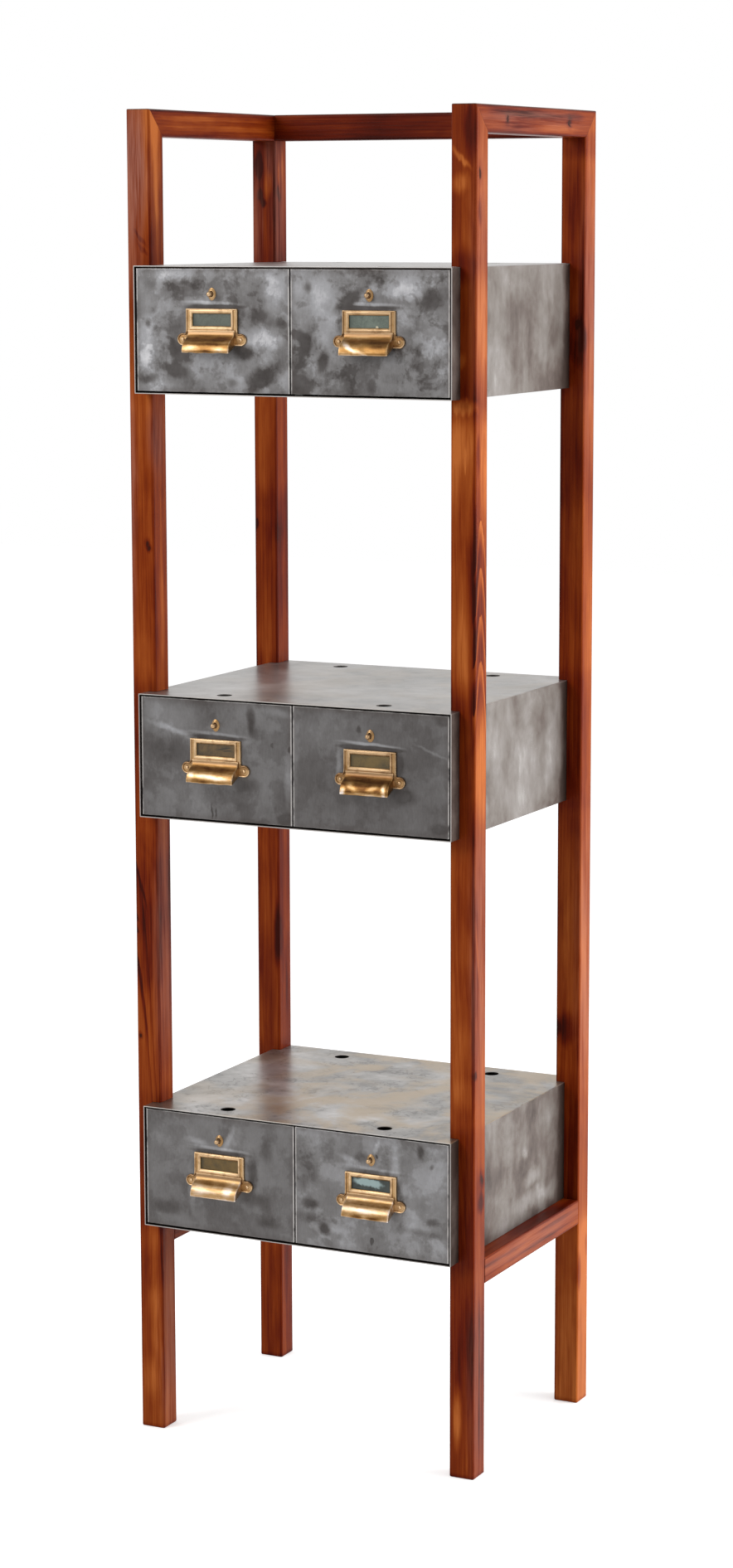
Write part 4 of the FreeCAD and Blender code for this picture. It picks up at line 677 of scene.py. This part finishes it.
def pullOutline():
    f = pullFacts
    right = [(0.0, f["plateTop"])]
    corner = f["cornerRadius"]
    for step in range(5):
        turn = math.radians(90 - 90 * step / 4)
        right.append((f["plateHalf"] - corner + corner * math.cos(turn), f["plateTop"] - corner + corner * math.sin(turn)))
    start = Vector((f["plateHalf"], f["flareStart"]))
    turn = math.radians(f["flareAngle"])
    end = Vector((f["earX"] + f["earRadius"] * math.cos(turn), f["earH"] + f["earRadius"] * math.sin(turn)))
    pull = Vector((math.sin(turn), -math.cos(turn)))
    handles = (start, start + Vector((0, -5.5)), end - pull * 3.0, end)
    for step in range(11):
        t = step / 10
        weights = ((1 - t) ** 3, 3 * t * (1 - t) ** 2, 3 * t * t * (1 - t), t ** 3)
        spot = sum((w * p for w, p in zip(weights, handles)), Vector((0, 0)))
        right.append((spot.x, spot.y))
    for step in range(1, 23):
        turn = math.radians(f["flareAngle"] - (f["flareAngle"] + 100) * step / 22)
        right.append((f["earX"] + f["earRadius"] * math.cos(turn), f["earH"] + f["earRadius"] * math.sin(turn)))
    right.append((36.0, f["plateLow"]))
    left = [(-x, h) for x, h in reversed(right) if x > 0.001]
    return right + left


def spot3d(middleX, faceY, lineLevel, x, out, h):
    return Vector((middleX + x * mm, faceY - out * mm, lineLevel + h * mm))


def plateShape(at):
    f = pullFacts
    shape = bmesh.new()
    loops = [pullOutline(), [(-f["windowHalf"], f["windowLow"]), (f["windowHalf"], f["windowLow"]),
                             (f["windowHalf"], f["windowHigh"]), (-f["windowHalf"], f["windowHigh"])]]
    edges = []
    for loop in loops:
        corners = [shape.verts.new(at(x, f["plateThick"], h)) for x, h in loop]
        edges += [shape.edges.new(pair) for pair in zip(corners, corners[1:] + corners[:1])]
    bmesh.ops.triangle_fill(shape, edges=edges, use_beauty=True)
    made = bmesh.ops.extrude_face_region(shape, geom=shape.faces[:])
    moved = [item for item in made["geom"] if isinstance(item, bmesh.types.BMVert)]
    bmesh.ops.translate(shape, verts=moved, vec=Vector((0, f["plateThick"] * mm, 0)))
    bmesh.ops.recalc_face_normals(shape, faces=shape.faces[:])
    return shape


def lipShape(at):
    f = pullFacts
    path = [Vector(p) for p in pullOutline()]
    count = len(path)
    section = []
    for step in range(7):
        turn = math.radians(180 * step / 6)
        section.append((f["lipWidth"] / 2 * (1 - math.cos(turn)), f["plateThick"] - 0.2 + (f["lipRise"] + 0.2) * math.sin(turn)))
    shape = bmesh.new()
    rows = []
    for index, spot in enumerate(path):
        before, after = path[index - 1], path[(index + 1) % count]
        tangent = (after - before).normalized()
        inward = Vector((-tangent.y, tangent.x)) * -1
        row = []
        for offset, out in section:
            moved = spot + inward * offset
            row.append(shape.verts.new(at(moved.x, out, moved.y)))
        rows.append(row)
    for index in range(count):
        here, there = rows[index], rows[(index + 1) % count]
        for j in range(len(section)):
            k = (j + 1) % len(section)
            shape.faces.new((here[j], here[k], there[k], there[j]))
    bmesh.ops.recalc_face_normals(shape, faces=shape.faces[:])
    return shape


def rimShape(at):
    f = pullFacts
    steps = [(0.0, 1.4), (0.0, 2.9), (0.5, 3.55), (1.3, 3.75), (2.1, 3.6), (2.6, 2.9), (3.75, 1.7), (3.75, 0.5), (3.2, 0.5)]
    shape = bmesh.new()
    rows = []
    reach = steps[6][0]
    for inset, out in steps:
        share = inset / reach
        half = f["rimHalf"] + (f["windowHalf"] - f["rimHalf"]) * share
        lowH = f["rimLow"] + (f["windowLow"] - f["rimLow"]) * share
        highH = f["plateTop"] - 1.3 + (f["windowHigh"] - f["plateTop"] + 1.3) * share
        rows.append([shape.verts.new(at(x, out, h)) for x, h in
                     ((-half, lowH), (half, lowH), (half, highH), (-half, highH))])
    for here, there in zip(rows, rows[1:] + rows[:1]):
        for j in range(4):
            k = (j + 1) % 4
            shape.faces.new((here[j], here[k], there[k], there[j]))
    bmesh.ops.recalc_face_normals(shape, faces=shape.faces[:])
    return shape


def cupShape(at, look):
    f = pullFacts
    profile = [Vector(p) for p in cupProfile]
    normals = []
    for index, spot in enumerate(profile):
        before = profile[max(index - 1, 0)]
        after = profile[min(index + 1, len(profile) - 1)]
        tangent = (after - before).normalized()
        normals.append(Vector((-tangent.y, tangent.x)))
    half, roundness = f["cupHalf"], f["cupRound"]
    columns = []
    for step in range(5):
        turn = math.radians(90 * step / 4)
        columns.append((-half + roundness * (1 - math.sin(turn)), roundness * (1 - math.cos(turn)) if step < 4 else roundness))
    columns = [(x, inset) for x, inset in reversed(columns)]
    columns = [(-half, roundness), (-half + 0.1, roundness * 0.62), (-half + 0.38, roundness * 0.29),
               (-half + 0.80, roundness * 0.08), (-half + 1.3, 0.0)]
    flat = [(-half + 1.3 + (2 * half - 2.6) * step / 24, 0.0) for step in range(1, 24)]
    columns = columns + flat + [(-x, inset) for x, inset in reversed(columns)]
    shape = bmesh.new()
    rows = []
    for x, inset in columns:
        row = []
        for index, (spot, normal) in enumerate(zip(profile, normals)):
            share = min(index / 4, 1.0)
            moved = spot - normal * (inset * share)
            wave = noise.noise(Vector((x * 0.09, look["seed"] * 7.0, spot.y * 0.05)))
            weight = max(0.0, (-spot.y - 10) / 20)
            out = moved.x - abs(wave) * 0.5 * weight
            h = moved.y + (wave * look.get("lip", 0.7) if index >= len(profile) - 3 else 0) * weight
            for dentX, dentH, dentRadius, dentDepth in look.get("dents", ()):
                gap = ((x - dentX) ** 2 + (spot.y - dentH) ** 2) / dentRadius ** 2
                out -= dentDepth * math.exp(-gap)
            row.append(shape.verts.new(at(x, min(out, f["cupReach"]), max(h, f["cupDrop"]))))
        rows.append(row)
    for here, there in zip(rows, rows[1:]):
        for j in range(len(profile) - 1):
            shape.faces.new((here[j], here[j + 1], there[j + 1], there[j]))
    for row, x in ((rows[0], -half), (rows[-1], half)):
        foot = shape.verts.new(at(x, 1.2, f["plateLow"]))
        shape.faces.new(row + [foot])
    bmesh.ops.recalc_face_normals(shape, faces=shape.faces[:])
    middle = shape.faces[len(profile) * 12]
    if middle.normal.y > 0:
        bmesh.ops.reverse_faces(shape, faces=shape.faces[:])
    return shape


def turned(at, profile, count=40):
    shape = bmesh.new()
    rows = []
    for radius, out in profile:
        rows.append([shape.verts.new(at(radius * math.cos(2 * math.pi * k / count), out,
                                        radius * math.sin(2 * math.pi * k / count))) for k in range(count)])
    for here, there in zip(rows, rows[1:]):
        for j in range(count):
            k = (j + 1) % count
            shape.faces.new((here[j], here[k], there[k], there[j]))
    shape.faces.new(rows[0])
    shape.faces.new(rows[-1])
    bmesh.ops.recalc_face_normals(shape, faces=shape.faces[:])
    return shape


def roseShape(at, count=48):
    f = roseFacts
    shape = bmesh.new()
    rows = []
    for share, out in f["steps"]:
        row = []
        for k in range(count):
            turn = 2 * math.pi * k / count
            c, s = math.cos(turn), math.sin(turn)
            reach = share / (abs(c) ** f["roundness"] + abs(s) ** f["roundness"]) ** (1 / f["roundness"])
            row.append(shape.verts.new(at(f["halfWide"] * reach * c, out, f["halfHigh"] * reach * s)))
        rows.append(row)
    for here, there in zip(rows, rows[1:] + rows[:1]):
        for j in range(count):
            k = (j + 1) % count
            shape.faces.new((here[j], here[k], there[k], there[j]))
    bmesh.ops.recalc_face_normals(shape, faces=shape.faces[:])
    return shape


def tongueShape(at):
    f = tongueFacts
    outline = [(f["halfWide"] * math.cos(math.radians(a)), f["halfWide"] * math.sin(math.radians(a))) for a in range(90, 271, 15)]
    outline += [(f["reach"] + f["halfWide"] * math.cos(math.radians(a)), f["halfWide"] * math.sin(math.radians(a)))
                for a in range(-90, 91, 15)]
    shape = bmesh.new()
    ends = [[shape.verts.new(at(x, out, h)) for x, h in outline] for out in (f["near"], f["far"])]
    for j in range(len(outline)):
        k = (j + 1) % len(outline)
        shape.faces.new((ends[0][j], ends[0][k], ends[1][k], ends[1][j]))
    shape.faces.new(ends[0])
    shape.faces.new(ends[1])
    bmesh.ops.recalc_face_normals(shape, faces=shape.faces[:])
    return shape


# Pins by Geometry Nodes: one domed pin on each point of a mesh

def repeatTree(name, sizes, build):
    tree = bpy.data.node_groups.new(name, "GeometryNodeTree")
    tree.interface.new_socket("Geometry", in_out="INPUT", socket_type="NodeSocketGeometry")
    for label, value in sizes.items():
        socket = tree.interface.new_socket(label, in_out="INPUT", socket_type="NodeSocketFloat")
        socket.default_value = value
    tree.interface.new_socket("Finish", in_out="INPUT", socket_type="NodeSocketMaterial")
    tree.interface.new_socket("Geometry", in_out="OUTPUT", socket_type="NodeSocketGeometry")
    source = tree.nodes.new("NodeGroupInput")
    result = tree.nodes.new("NodeGroupOutput")

    def add(kind, settings=None, sockets=None):
        item = tree.nodes.new(kind)
        for key, value in (settings or {}).items():
            setattr(item, key, value)
        for key, value in (sockets or {}).items():
            if isinstance(value, bpy.types.NodeSocket):
                tree.links.new(value, item.inputs[key])
            else:
                item.inputs[key].default_value = value
        return item

    stamped = build(add, source)
    real = add("GeometryNodeRealizeInstances", {}, {0: stamped})
    painted = add("GeometryNodeSetMaterial", {}, {"Geometry": real.outputs[0], "Material": source.outputs["Finish"]})
    tree.links.new(painted.outputs[0], result.inputs[0])
    return tree


def pinBuild(add, source):
    shank = add("GeometryNodeMeshCylinder", {}, {"Vertices": 20, "Radius": source.outputs["Shank Radius"],
                                                 "Depth": source.outputs["Shank Length"]})
    half = add("ShaderNodeMath", {"operation": "MULTIPLY"}, {0: source.outputs["Shank Length"], 1: -0.5})
    lift = add("ShaderNodeCombineXYZ", {}, {2: half.outputs[0]})
    moved = add("GeometryNodeTransform", {}, {"Geometry": shank.outputs[0], "Translation": lift.outputs[0]})
    dome = add("GeometryNodeMeshUVSphere", {}, {"Segments": 24, "Rings": 14, "Radius": source.outputs["Head Radius"]})
    squash = add("ShaderNodeCombineXYZ", {}, {0: 1.0, 1: 1.0, 2: source.outputs["Head Flatness"]})
    head = add("GeometryNodeTransform", {}, {"Geometry": dome.outputs[0], "Scale": squash.outputs[0]})
    flange = add("GeometryNodeMeshCylinder", {}, {"Vertices": 24, "Radius": source.outputs["Head Radius"], "Depth": 0.0006})
    joined = add("GeometryNodeJoinGeometry")
    for part in (moved, head, flange):
        joined.id_data.links.new(part.outputs[0], joined.inputs[0])
    smoothed = add("GeometryNodeSetShadeSmooth", {}, {0: joined.outputs[0]})
    turn = add("FunctionNodeInputVector", {"vector": (math.radians(90), 0, 0)})
    return add("GeometryNodeInstanceOnPoints", {}, {"Points": source.outputs[0], "Instance": smoothed.outputs[0],
                                                    "Rotation": turn.outputs[0]}).outputs[0]


def stampPieces(name, points, tree, material, values=None):
    shape = bmesh.new()
    for point in points:
        shape.verts.new(point)
    piece = newPiece(name, shape, material)
    change = piece.modifiers.new("repeat", "NODES")
    change.node_group = tree
    idents = {item.name: item.identifier for item in tree.interface.items_tree if item.in_out == "INPUT"}
    change[idents["Finish"]] = material
    for label, value in (values or {}).items():
        change[idents[label]] = value
    evaluated = piece.evaluated_get(bpy.context.evaluated_depsgraph_get())
    plain = bpy.data.meshes.new_from_object(evaluated)
    piece.modifiers.clear()
    piece.data = plain
    return piece


def screwBuild(add, source):
    size = source.outputs
    shank = add("GeometryNodeMeshCylinder", {}, {"Vertices": 16, "Radius": size["Shank Radius"], "Depth": size["Shank Length"]})
    halfShank = add("ShaderNodeMath", {"operation": "MULTIPLY"}, {0: size["Shank Length"], 1: 0.5})
    down = add("ShaderNodeCombineXYZ", {}, {2: halfShank.outputs[0]})
    lowered = add("GeometryNodeTransform", {}, {"Geometry": shank.outputs[0], "Translation": down.outputs[0]})
    crown = add("ShaderNodeMath", {"operation": "MULTIPLY"}, {0: size["Head Radius"], 1: 0.72})
    head = add("GeometryNodeMeshCone", {}, {"Vertices": 28, "Side Segments": 1, "Radius Top": crown.outputs[0],
                                            "Radius Bottom": size["Head Radius"], "Depth": size["Head Height"]})
    flipped = add("GeometryNodeTransform", {}, {"Geometry": head.outputs[0], "Rotation": (math.radians(180), 0, 0)})
    wide = add("ShaderNodeMath", {"operation": "MULTIPLY"}, {0: size["Head Radius"], 1: 3.0})
    slotSize = add("ShaderNodeCombineXYZ", {}, {0: wide.outputs[0], 1: size["Slot Width"], 2: size["Head Height"]})
    slot = add("GeometryNodeMeshCube", {}, {"Size": slotSize.outputs[0]})
    lift = add("ShaderNodeMath", {"operation": "MULTIPLY"}, {0: size["Head Height"], 1: -1.5})
    liftUp = add("ShaderNodeCombineXYZ", {}, {2: lift.outputs[0]})
    cutter = add("GeometryNodeTransform", {}, {"Geometry": slot.outputs[0], "Translation": liftUp.outputs[0]})
    cut = add("GeometryNodeMeshBoolean", {"operation": "DIFFERENCE"}, {"Mesh 1": flipped.outputs[0], "Mesh 2": cutter.outputs[0]})
    joined = add("GeometryNodeJoinGeometry")
    for part in (lowered, cut):
        joined.id_data.links.new(part.outputs[0], joined.inputs[0])
    turn = add("ShaderNodeCombineXYZ", {}, {0: 0.3, 1: size["Turn"]})
    return add("GeometryNodeInstanceOnPoints", {}, {"Points": source.outputs[0], "Instance": joined.outputs[0],
                                                    "Rotation": turn.outputs[0]}).outputs[0]


pinSizes = {"Shank Radius": 0.00175, "Shank Length": 0.004, "Head Radius": 0.00275, "Head Flatness": 0.85}
pinTree = repeatTree("domedPins", pinSizes, pinBuild)
roseFacts = {"halfWide": 6.3, "halfHigh": 8.7, "roundness": 1.8,
             "steps": ((0.36, 0.02), (1.0, 0.02), (1.0, 0.5), (0.93, 0.9), (0.84, 1.05), (0.76, 1.5), (0.66, 2.25), (0.57, 2.4),
                       (0.50, 2.1), (0.45, 1.2), (0.36, 1.0))}
catchProfile = [(0.3, -19.0), (1.7, -19.0), (2.0, -18.8), (2.0, -5.6), (4.3, -5.6), (4.5, -5.4), (4.5, -3.8), (4.3, -3.6), (2.0, -3.6),
                (2.0, 2.6), (2.8, 2.7), (3.0, 3.0), (2.7, 3.4), (1.7, 3.7), (1.4, 4.1), (1.6, 4.5), (2.5, 5.0), (3.3, 5.9),
                (3.75, 7.1), (3.8, 8.2), (3.55, 9.3), (2.95, 10.3), (2.1, 11.1), (1.1, 11.55), (0.3, 11.65)]
tongueFacts = {"reach": 28.0, "halfWide": 5.0, "near": -17.0, "far": -19.0}
screwSizes = {"Head Radius": 0.004, "Head Height": 0.002, "Shank Radius": 0.002, "Shank Length": 0.016, "Slot Width": 0.0009, "Turn": 0.0}
cupDetails = {
    "top_left": dict(lip=1.6), "top_right": dict(lip=0.8, dents=[(2, -22, 5, 0.9), (8, -26, 5, 0.8)]),
    "middle_left": dict(lip=0.7), "middle_right": dict(lip=0.6), "bottom_left": dict(lip=0.6), "bottom_right": dict(lip=0.8),
}


def finishMesh(piece, width, segments=2, angle=40):
    bevel = piece.modifiers.new("softEdges", "BEVEL")
    bevel.width = width * mm
    bevel.segments = segments
    bevel.limit_method = "ANGLE"
    bevel.angle_limit = math.radians(angle)


for unit in units:
    for side in sides:
        name = unit + "_" + side
        frontLow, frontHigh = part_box(name + "_front")
        middleX = (frontLow[0] + frontHigh[0]) / 2
        line = unitLow[unit] + lineUp
        look = dict(brassLooks[name], **cupDetails[name])
        material = brass(name, look, line, middleX)

        def at(x, out, h, middleX=middleX, line=line):
            return spot3d(middleX, faceY, line, x, out, h)

        def knobAt(x, out, h, middleX=middleX, level=unitLow[unit] + knobUp):
            return spot3d(middleX, faceY, level, x, out, h)

        plate = newPiece(name + "_plate", plateShape(at), material)
        finishMesh(plate, 0.3)
        lip = newPiece(name + "_lip", lipShape(at), material)
        rim = newPiece(name + "_rim", rimShape(at), material)
        finishMesh(rim, 0.15, 1, 30)
        cup = newPiece(name + "_cup", cupShape(at, look), material)
        wall = cup.modifiers.new("wall", "SOLIDIFY")
        wall.thickness = pullFacts["cupWall"] * mm
        wall.offset = -1
        finishMesh(cup, 0.45, 2, 50)
        whole = merge(name + "_brassPull", [plate, lip, rim, cup], material)
        smooth(whole)
        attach(whole, name + "_drawer")
        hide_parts(name + "_pull")

        pins = stampPieces(name + "_pins", [at(x, 1.4, -12.0) for x in (-45.75, 45.75)], pinTree, material)
        rose = newPiece(name + "_rose", roseShape(knobAt), material)
        fixings = merge(name + "_pinsAndRose", [pins, rose], material)
        smooth(fixings)
        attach(fixings, name + "_drawer")
        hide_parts(name + "_fixings")

        knob = newPiece(name + "_knob", turned(knobAt, catchProfile), material)
        tongue = newPiece(name + "_tongue", tongueShape(knobAt), material)
        finishMesh(tongue, 0.35)
        catch = merge(name + "_turnCatch", [knob, tongue], material)
        smooth(catch)
        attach(catch, name + "_turn_catch")
        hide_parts(name + "_catch")
print("brass made")


# Label cards behind the windows

cardLooks = {
    "top_left": dict(base=(0.105, 0.120, 0.100), dark=(0.04, 0.045, 0.035), seed=1.0),
    "top_right": dict(base=(0.140, 0.170, 0.140), dark=(0.06, 0.075, 0.06), seed=2.0, nick=(12, -7.4, 2.2, 1.6)),
    "middle_left": dict(base=(0.115, 0.070, 0.025), dark=(0.03, 0.02, 0.008), seed=3.0,
                        marks=[(14, 3, 9, 1.0, 12, -0.5), (18, 0, 6, 0.8, 6, -0.4), (-4, 2, 6, 5, 0, 0.15)]),
    "middle_right": dict(base=(0.140, 0.090, 0.025), dark=(0.05, 0.035, 0.012), seed=4.0),
    "bottom_left": dict(base=(0.135, 0.080, 0.018), dark=(0.04, 0.03, 0.01), seed=5.0),
    "bottom_right": dict(base=(0.040, 0.050, 0.045), dark=(0.012, 0.014, 0.012), seed=6.0, torn=(0.30, 0.40, 0.40)),
}


def labelCard(name, look):
    paint = Paint("labelCard_" + name)
    lowCorner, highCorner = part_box(name + "_label_card")
    x = paint.parts["X"] - (lowCorner[0] + highCorner[0]) / 2
    z = paint.parts["Z"] - (lowCorner[2] + highCorner[2]) / 2
    stains = paint.cloud(60, 4, 0.6, 0.8, seed=look["seed"])
    fibre = paint.cloud(700, 2, 0.6, seed=look["seed"])
    middle = [(lowCorner[i] + highCorner[i]) / 2 for i in range(3)]
    shade = paint.marks(stains + (fibre - 0.5) * 0.4, "front", middle, look.get("marks", ()), paint.place)
    colour = paint.ramp(shade, [(0.25, look["dark"]), (0.6, look["base"])])
    shadow = x.fall(-0.030, -0.023)
    colour = paint.blend(shadow * 0.8, colour, look["dark"])
    if "torn" in look:
        rag = paint.ragged((0.012, 0, 0.012), 110, look["seed"])
        torn = paint.gap(where=rag, **onFace("front", middle, -4, 2.5, 22, 6, -5)).fall(0.75, 1.25)
        colour = paint.blend(torn, colour, look["torn"])
    if "nick" in look:
        nick = paint.gap(where=paint.ragged((0.002, 0, 0.002), 400, look["seed"]), **onFace("front", middle, *look["nick"]))
        colour = paint.blend(nick.fall(0.7, 1.2), colour, (0.62, 0.56, 0.40))
    return paint.finish(colour, fibre * 0.2 + 0.55, 0.0, fibre + stains, 0.0001)


for name, look in cardLooks.items():
    coat(name + "_label_card", labelCard(name, look))


def plainPaint(name, base, other, roughness, metallic, scale, stretch=(1, 1, 1)):
    paint = Paint(name)
    grain = paint.cloud(scale, 4, 0.6, 0.3, stretch=stretch)
    colour = paint.blend(grain, base, other)
    return paint.finish(colour, grain * 0.2 + roughness, metallic, grain, 0.0001)


coat("frame_dowels", plainPaint("dowelWood", (0.60, 0.42, 0.24), (0.42, 0.27, 0.13), 0.5, 0.0, 300, (1, 1, 0.1)))
screwSteel = plainPaint("screwSteel", (0.60, 0.60, 0.58), (0.36, 0.36, 0.37), 0.25, 0.9, 400)
coat("case_screws", screwSteel)
screwPlace = {"x": 244.8, "y": (-162.25, 209.75), "up": 100.0, "headHeight": 2.0}
screwTree = repeatTree("slottedScrews", screwSizes, screwBuild)
screwRows = []
for side, sign in (("left", -1), ("right", 1)):
    points = [(sign * screwPlace["x"] * mm, y * mm, unitLow[unit] + screwPlace["up"] * mm) for unit in units for y in screwPlace["y"]]
    screwRows.append(stampPieces(side + "_screws", points, screwTree, screwSteel, {"Turn": sign * math.radians(90)}))
screws = merge("caseScrews", screwRows, screwSteel)
smooth(screws)
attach(screws, "frame")
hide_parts("case_screws")
print("cards, dowels and screws painted")


# Camera at the photograph's viewing angle

cameraFacts = {
    "place": (2.3025, -4.5957, 1.7682), "yaw": 26.3377, "pitch": -9.0465, "roll": -0.1050,
    "lens": 82.34, "shift": (-0.00557, 0.00173),
}
yaw, pitch, roll = (math.radians(cameraFacts[key]) for key in ("yaw", "pitch", "roll"))
forward = Vector((-math.sin(yaw) * math.cos(pitch), math.cos(yaw) * math.cos(pitch), math.sin(pitch)))
right = forward.cross(Vector((0, 0, 1))).normalized()
upward = right.cross(forward)
rightRolled = right * math.cos(roll) + upward * math.sin(roll)
upRolled = upward * math.cos(roll) - right * math.sin(roll)
camera = bpy.data.objects.new("photoCamera", bpy.data.cameras.new("photoCamera"))
scene.collection.objects.link(camera)
turnMatrix = Matrix((rightRolled, upRolled, -forward)).transposed().to_4x4()
camera.matrix_world = Matrix.Translation(cameraFacts["place"]) @ turnMatrix
camera.data.sensor_width = 36
camera.data.lens = cameraFacts["lens"]
camera.data.shift_x, camera.data.shift_y = cameraFacts["shift"]
camera.data.clip_end = 60
scene.camera = camera


# Studio light: pale surroundings, brighter behind and to the right, and two soft lamps

light = {
    "front": 0.42, "back": 1.0,
    "lamps": {
        "upperLeft": dict(place=(-2.2, -3.0, 3.4), aim=(0, 0, 1.0), size=2.0, power=90),
        "rightSide": dict(place=(3.4, 0.9, 1.6), aim=(0, 0, 0.95), size=2.8, power=125),
    },
}
world = bpy.data.worlds.new("studio")
scene.world = world
world.use_nodes = True
tree = world.node_tree
tree.nodes.clear()
rays = tree.nodes.new("ShaderNodeLightPath")
coordinate = tree.nodes.new("ShaderNodeTexCoord")
split = tree.nodes.new("ShaderNodeSeparateXYZ")
tree.links.new(coordinate.outputs["Generated"], split.inputs[0])
spread = tree.nodes.new("ShaderNodeMapRange")
spread.interpolation_type = "SMOOTHSTEP"
tree.links.new(split.outputs["Y"], spread.inputs["Value"])
for key, value in (("From Min", -0.5), ("From Max", 0.6), ("To Min", light["front"]), ("To Max", light["back"])):
    spread.inputs[key].default_value = value
surround = tree.nodes.new("ShaderNodeBackground")
tree.links.new(spread.outputs[0], surround.inputs["Strength"])
plain = tree.nodes.new("ShaderNodeBackground")
plain.inputs["Color"].default_value = (1, 1, 1, 1)
surround.inputs["Color"].default_value = (1, 1, 1, 1)
both = tree.nodes.new("ShaderNodeMixShader")
shown = rays.outputs["Is Camera Ray"]
for ray in ("Is Glossy Ray", "Is Transmission Ray"):
    either = tree.nodes.new("ShaderNodeMath")
    either.operation = "MAXIMUM"
    tree.links.new(shown, either.inputs[0])
    tree.links.new(rays.outputs[ray], either.inputs[1])
    shown = either.outputs[0]
tree.links.new(shown, both.inputs[0])
tree.links.new(surround.outputs[0], both.inputs[1])
tree.links.new(plain.outputs[0], both.inputs[2])
output = tree.nodes.new("ShaderNodeOutputWorld")
tree.links.new(both.outputs[0], output.inputs[0])

for name, facts in light["lamps"].items():
    data = bpy.data.lights.new(name, "AREA")
    data.energy = facts["power"]
    data.size = facts["size"]
    lamp = bpy.data.objects.new(name, data)
    lamp.location = facts["place"]
    lamp.rotation_euler = (Vector(facts["aim"]) - Vector(facts["place"])).to_track_quat("-Z", "Y").to_euler()
    lamp.visible_camera = False
    scene.collection.objects.link(lamp)

floorShape = bmesh.new()
bmesh.ops.create_grid(floorShape, x_segments=1, y_segments=1, size=12)
floorPaint = Paint("paleFloor")
speck = floorPaint.cloud(3, 2, seed=1.0)
matt = floorPaint.node("BsdfDiffuse", {}, {"Color": floorPaint.blend(speck, (0.86, 0.86, 0.86), (0.88, 0.88, 0.88))})
glow = floorPaint.node("Emission", {}, {"Strength": 0.45})
lit = floorPaint.node("AddShader", {}, {0: matt, 1: glow})
seen = floorPaint.node("LightPath", output="Is Camera Ray")
for ray in ("Is Glossy Ray", "Is Transmission Ray"):
    seen = seen.most(floorPaint.node("LightPath", output=ray))
floorPaint.node("OutputMaterial", {}, {"Surface": floorPaint.node("MixShader", {}, {0: seen, 1: matt, 2: lit})})
floor = newPiece("paleFloor", floorShape, floorPaint.material)

scene.view_settings.view_transform = "Standard"
print("camera and light set")
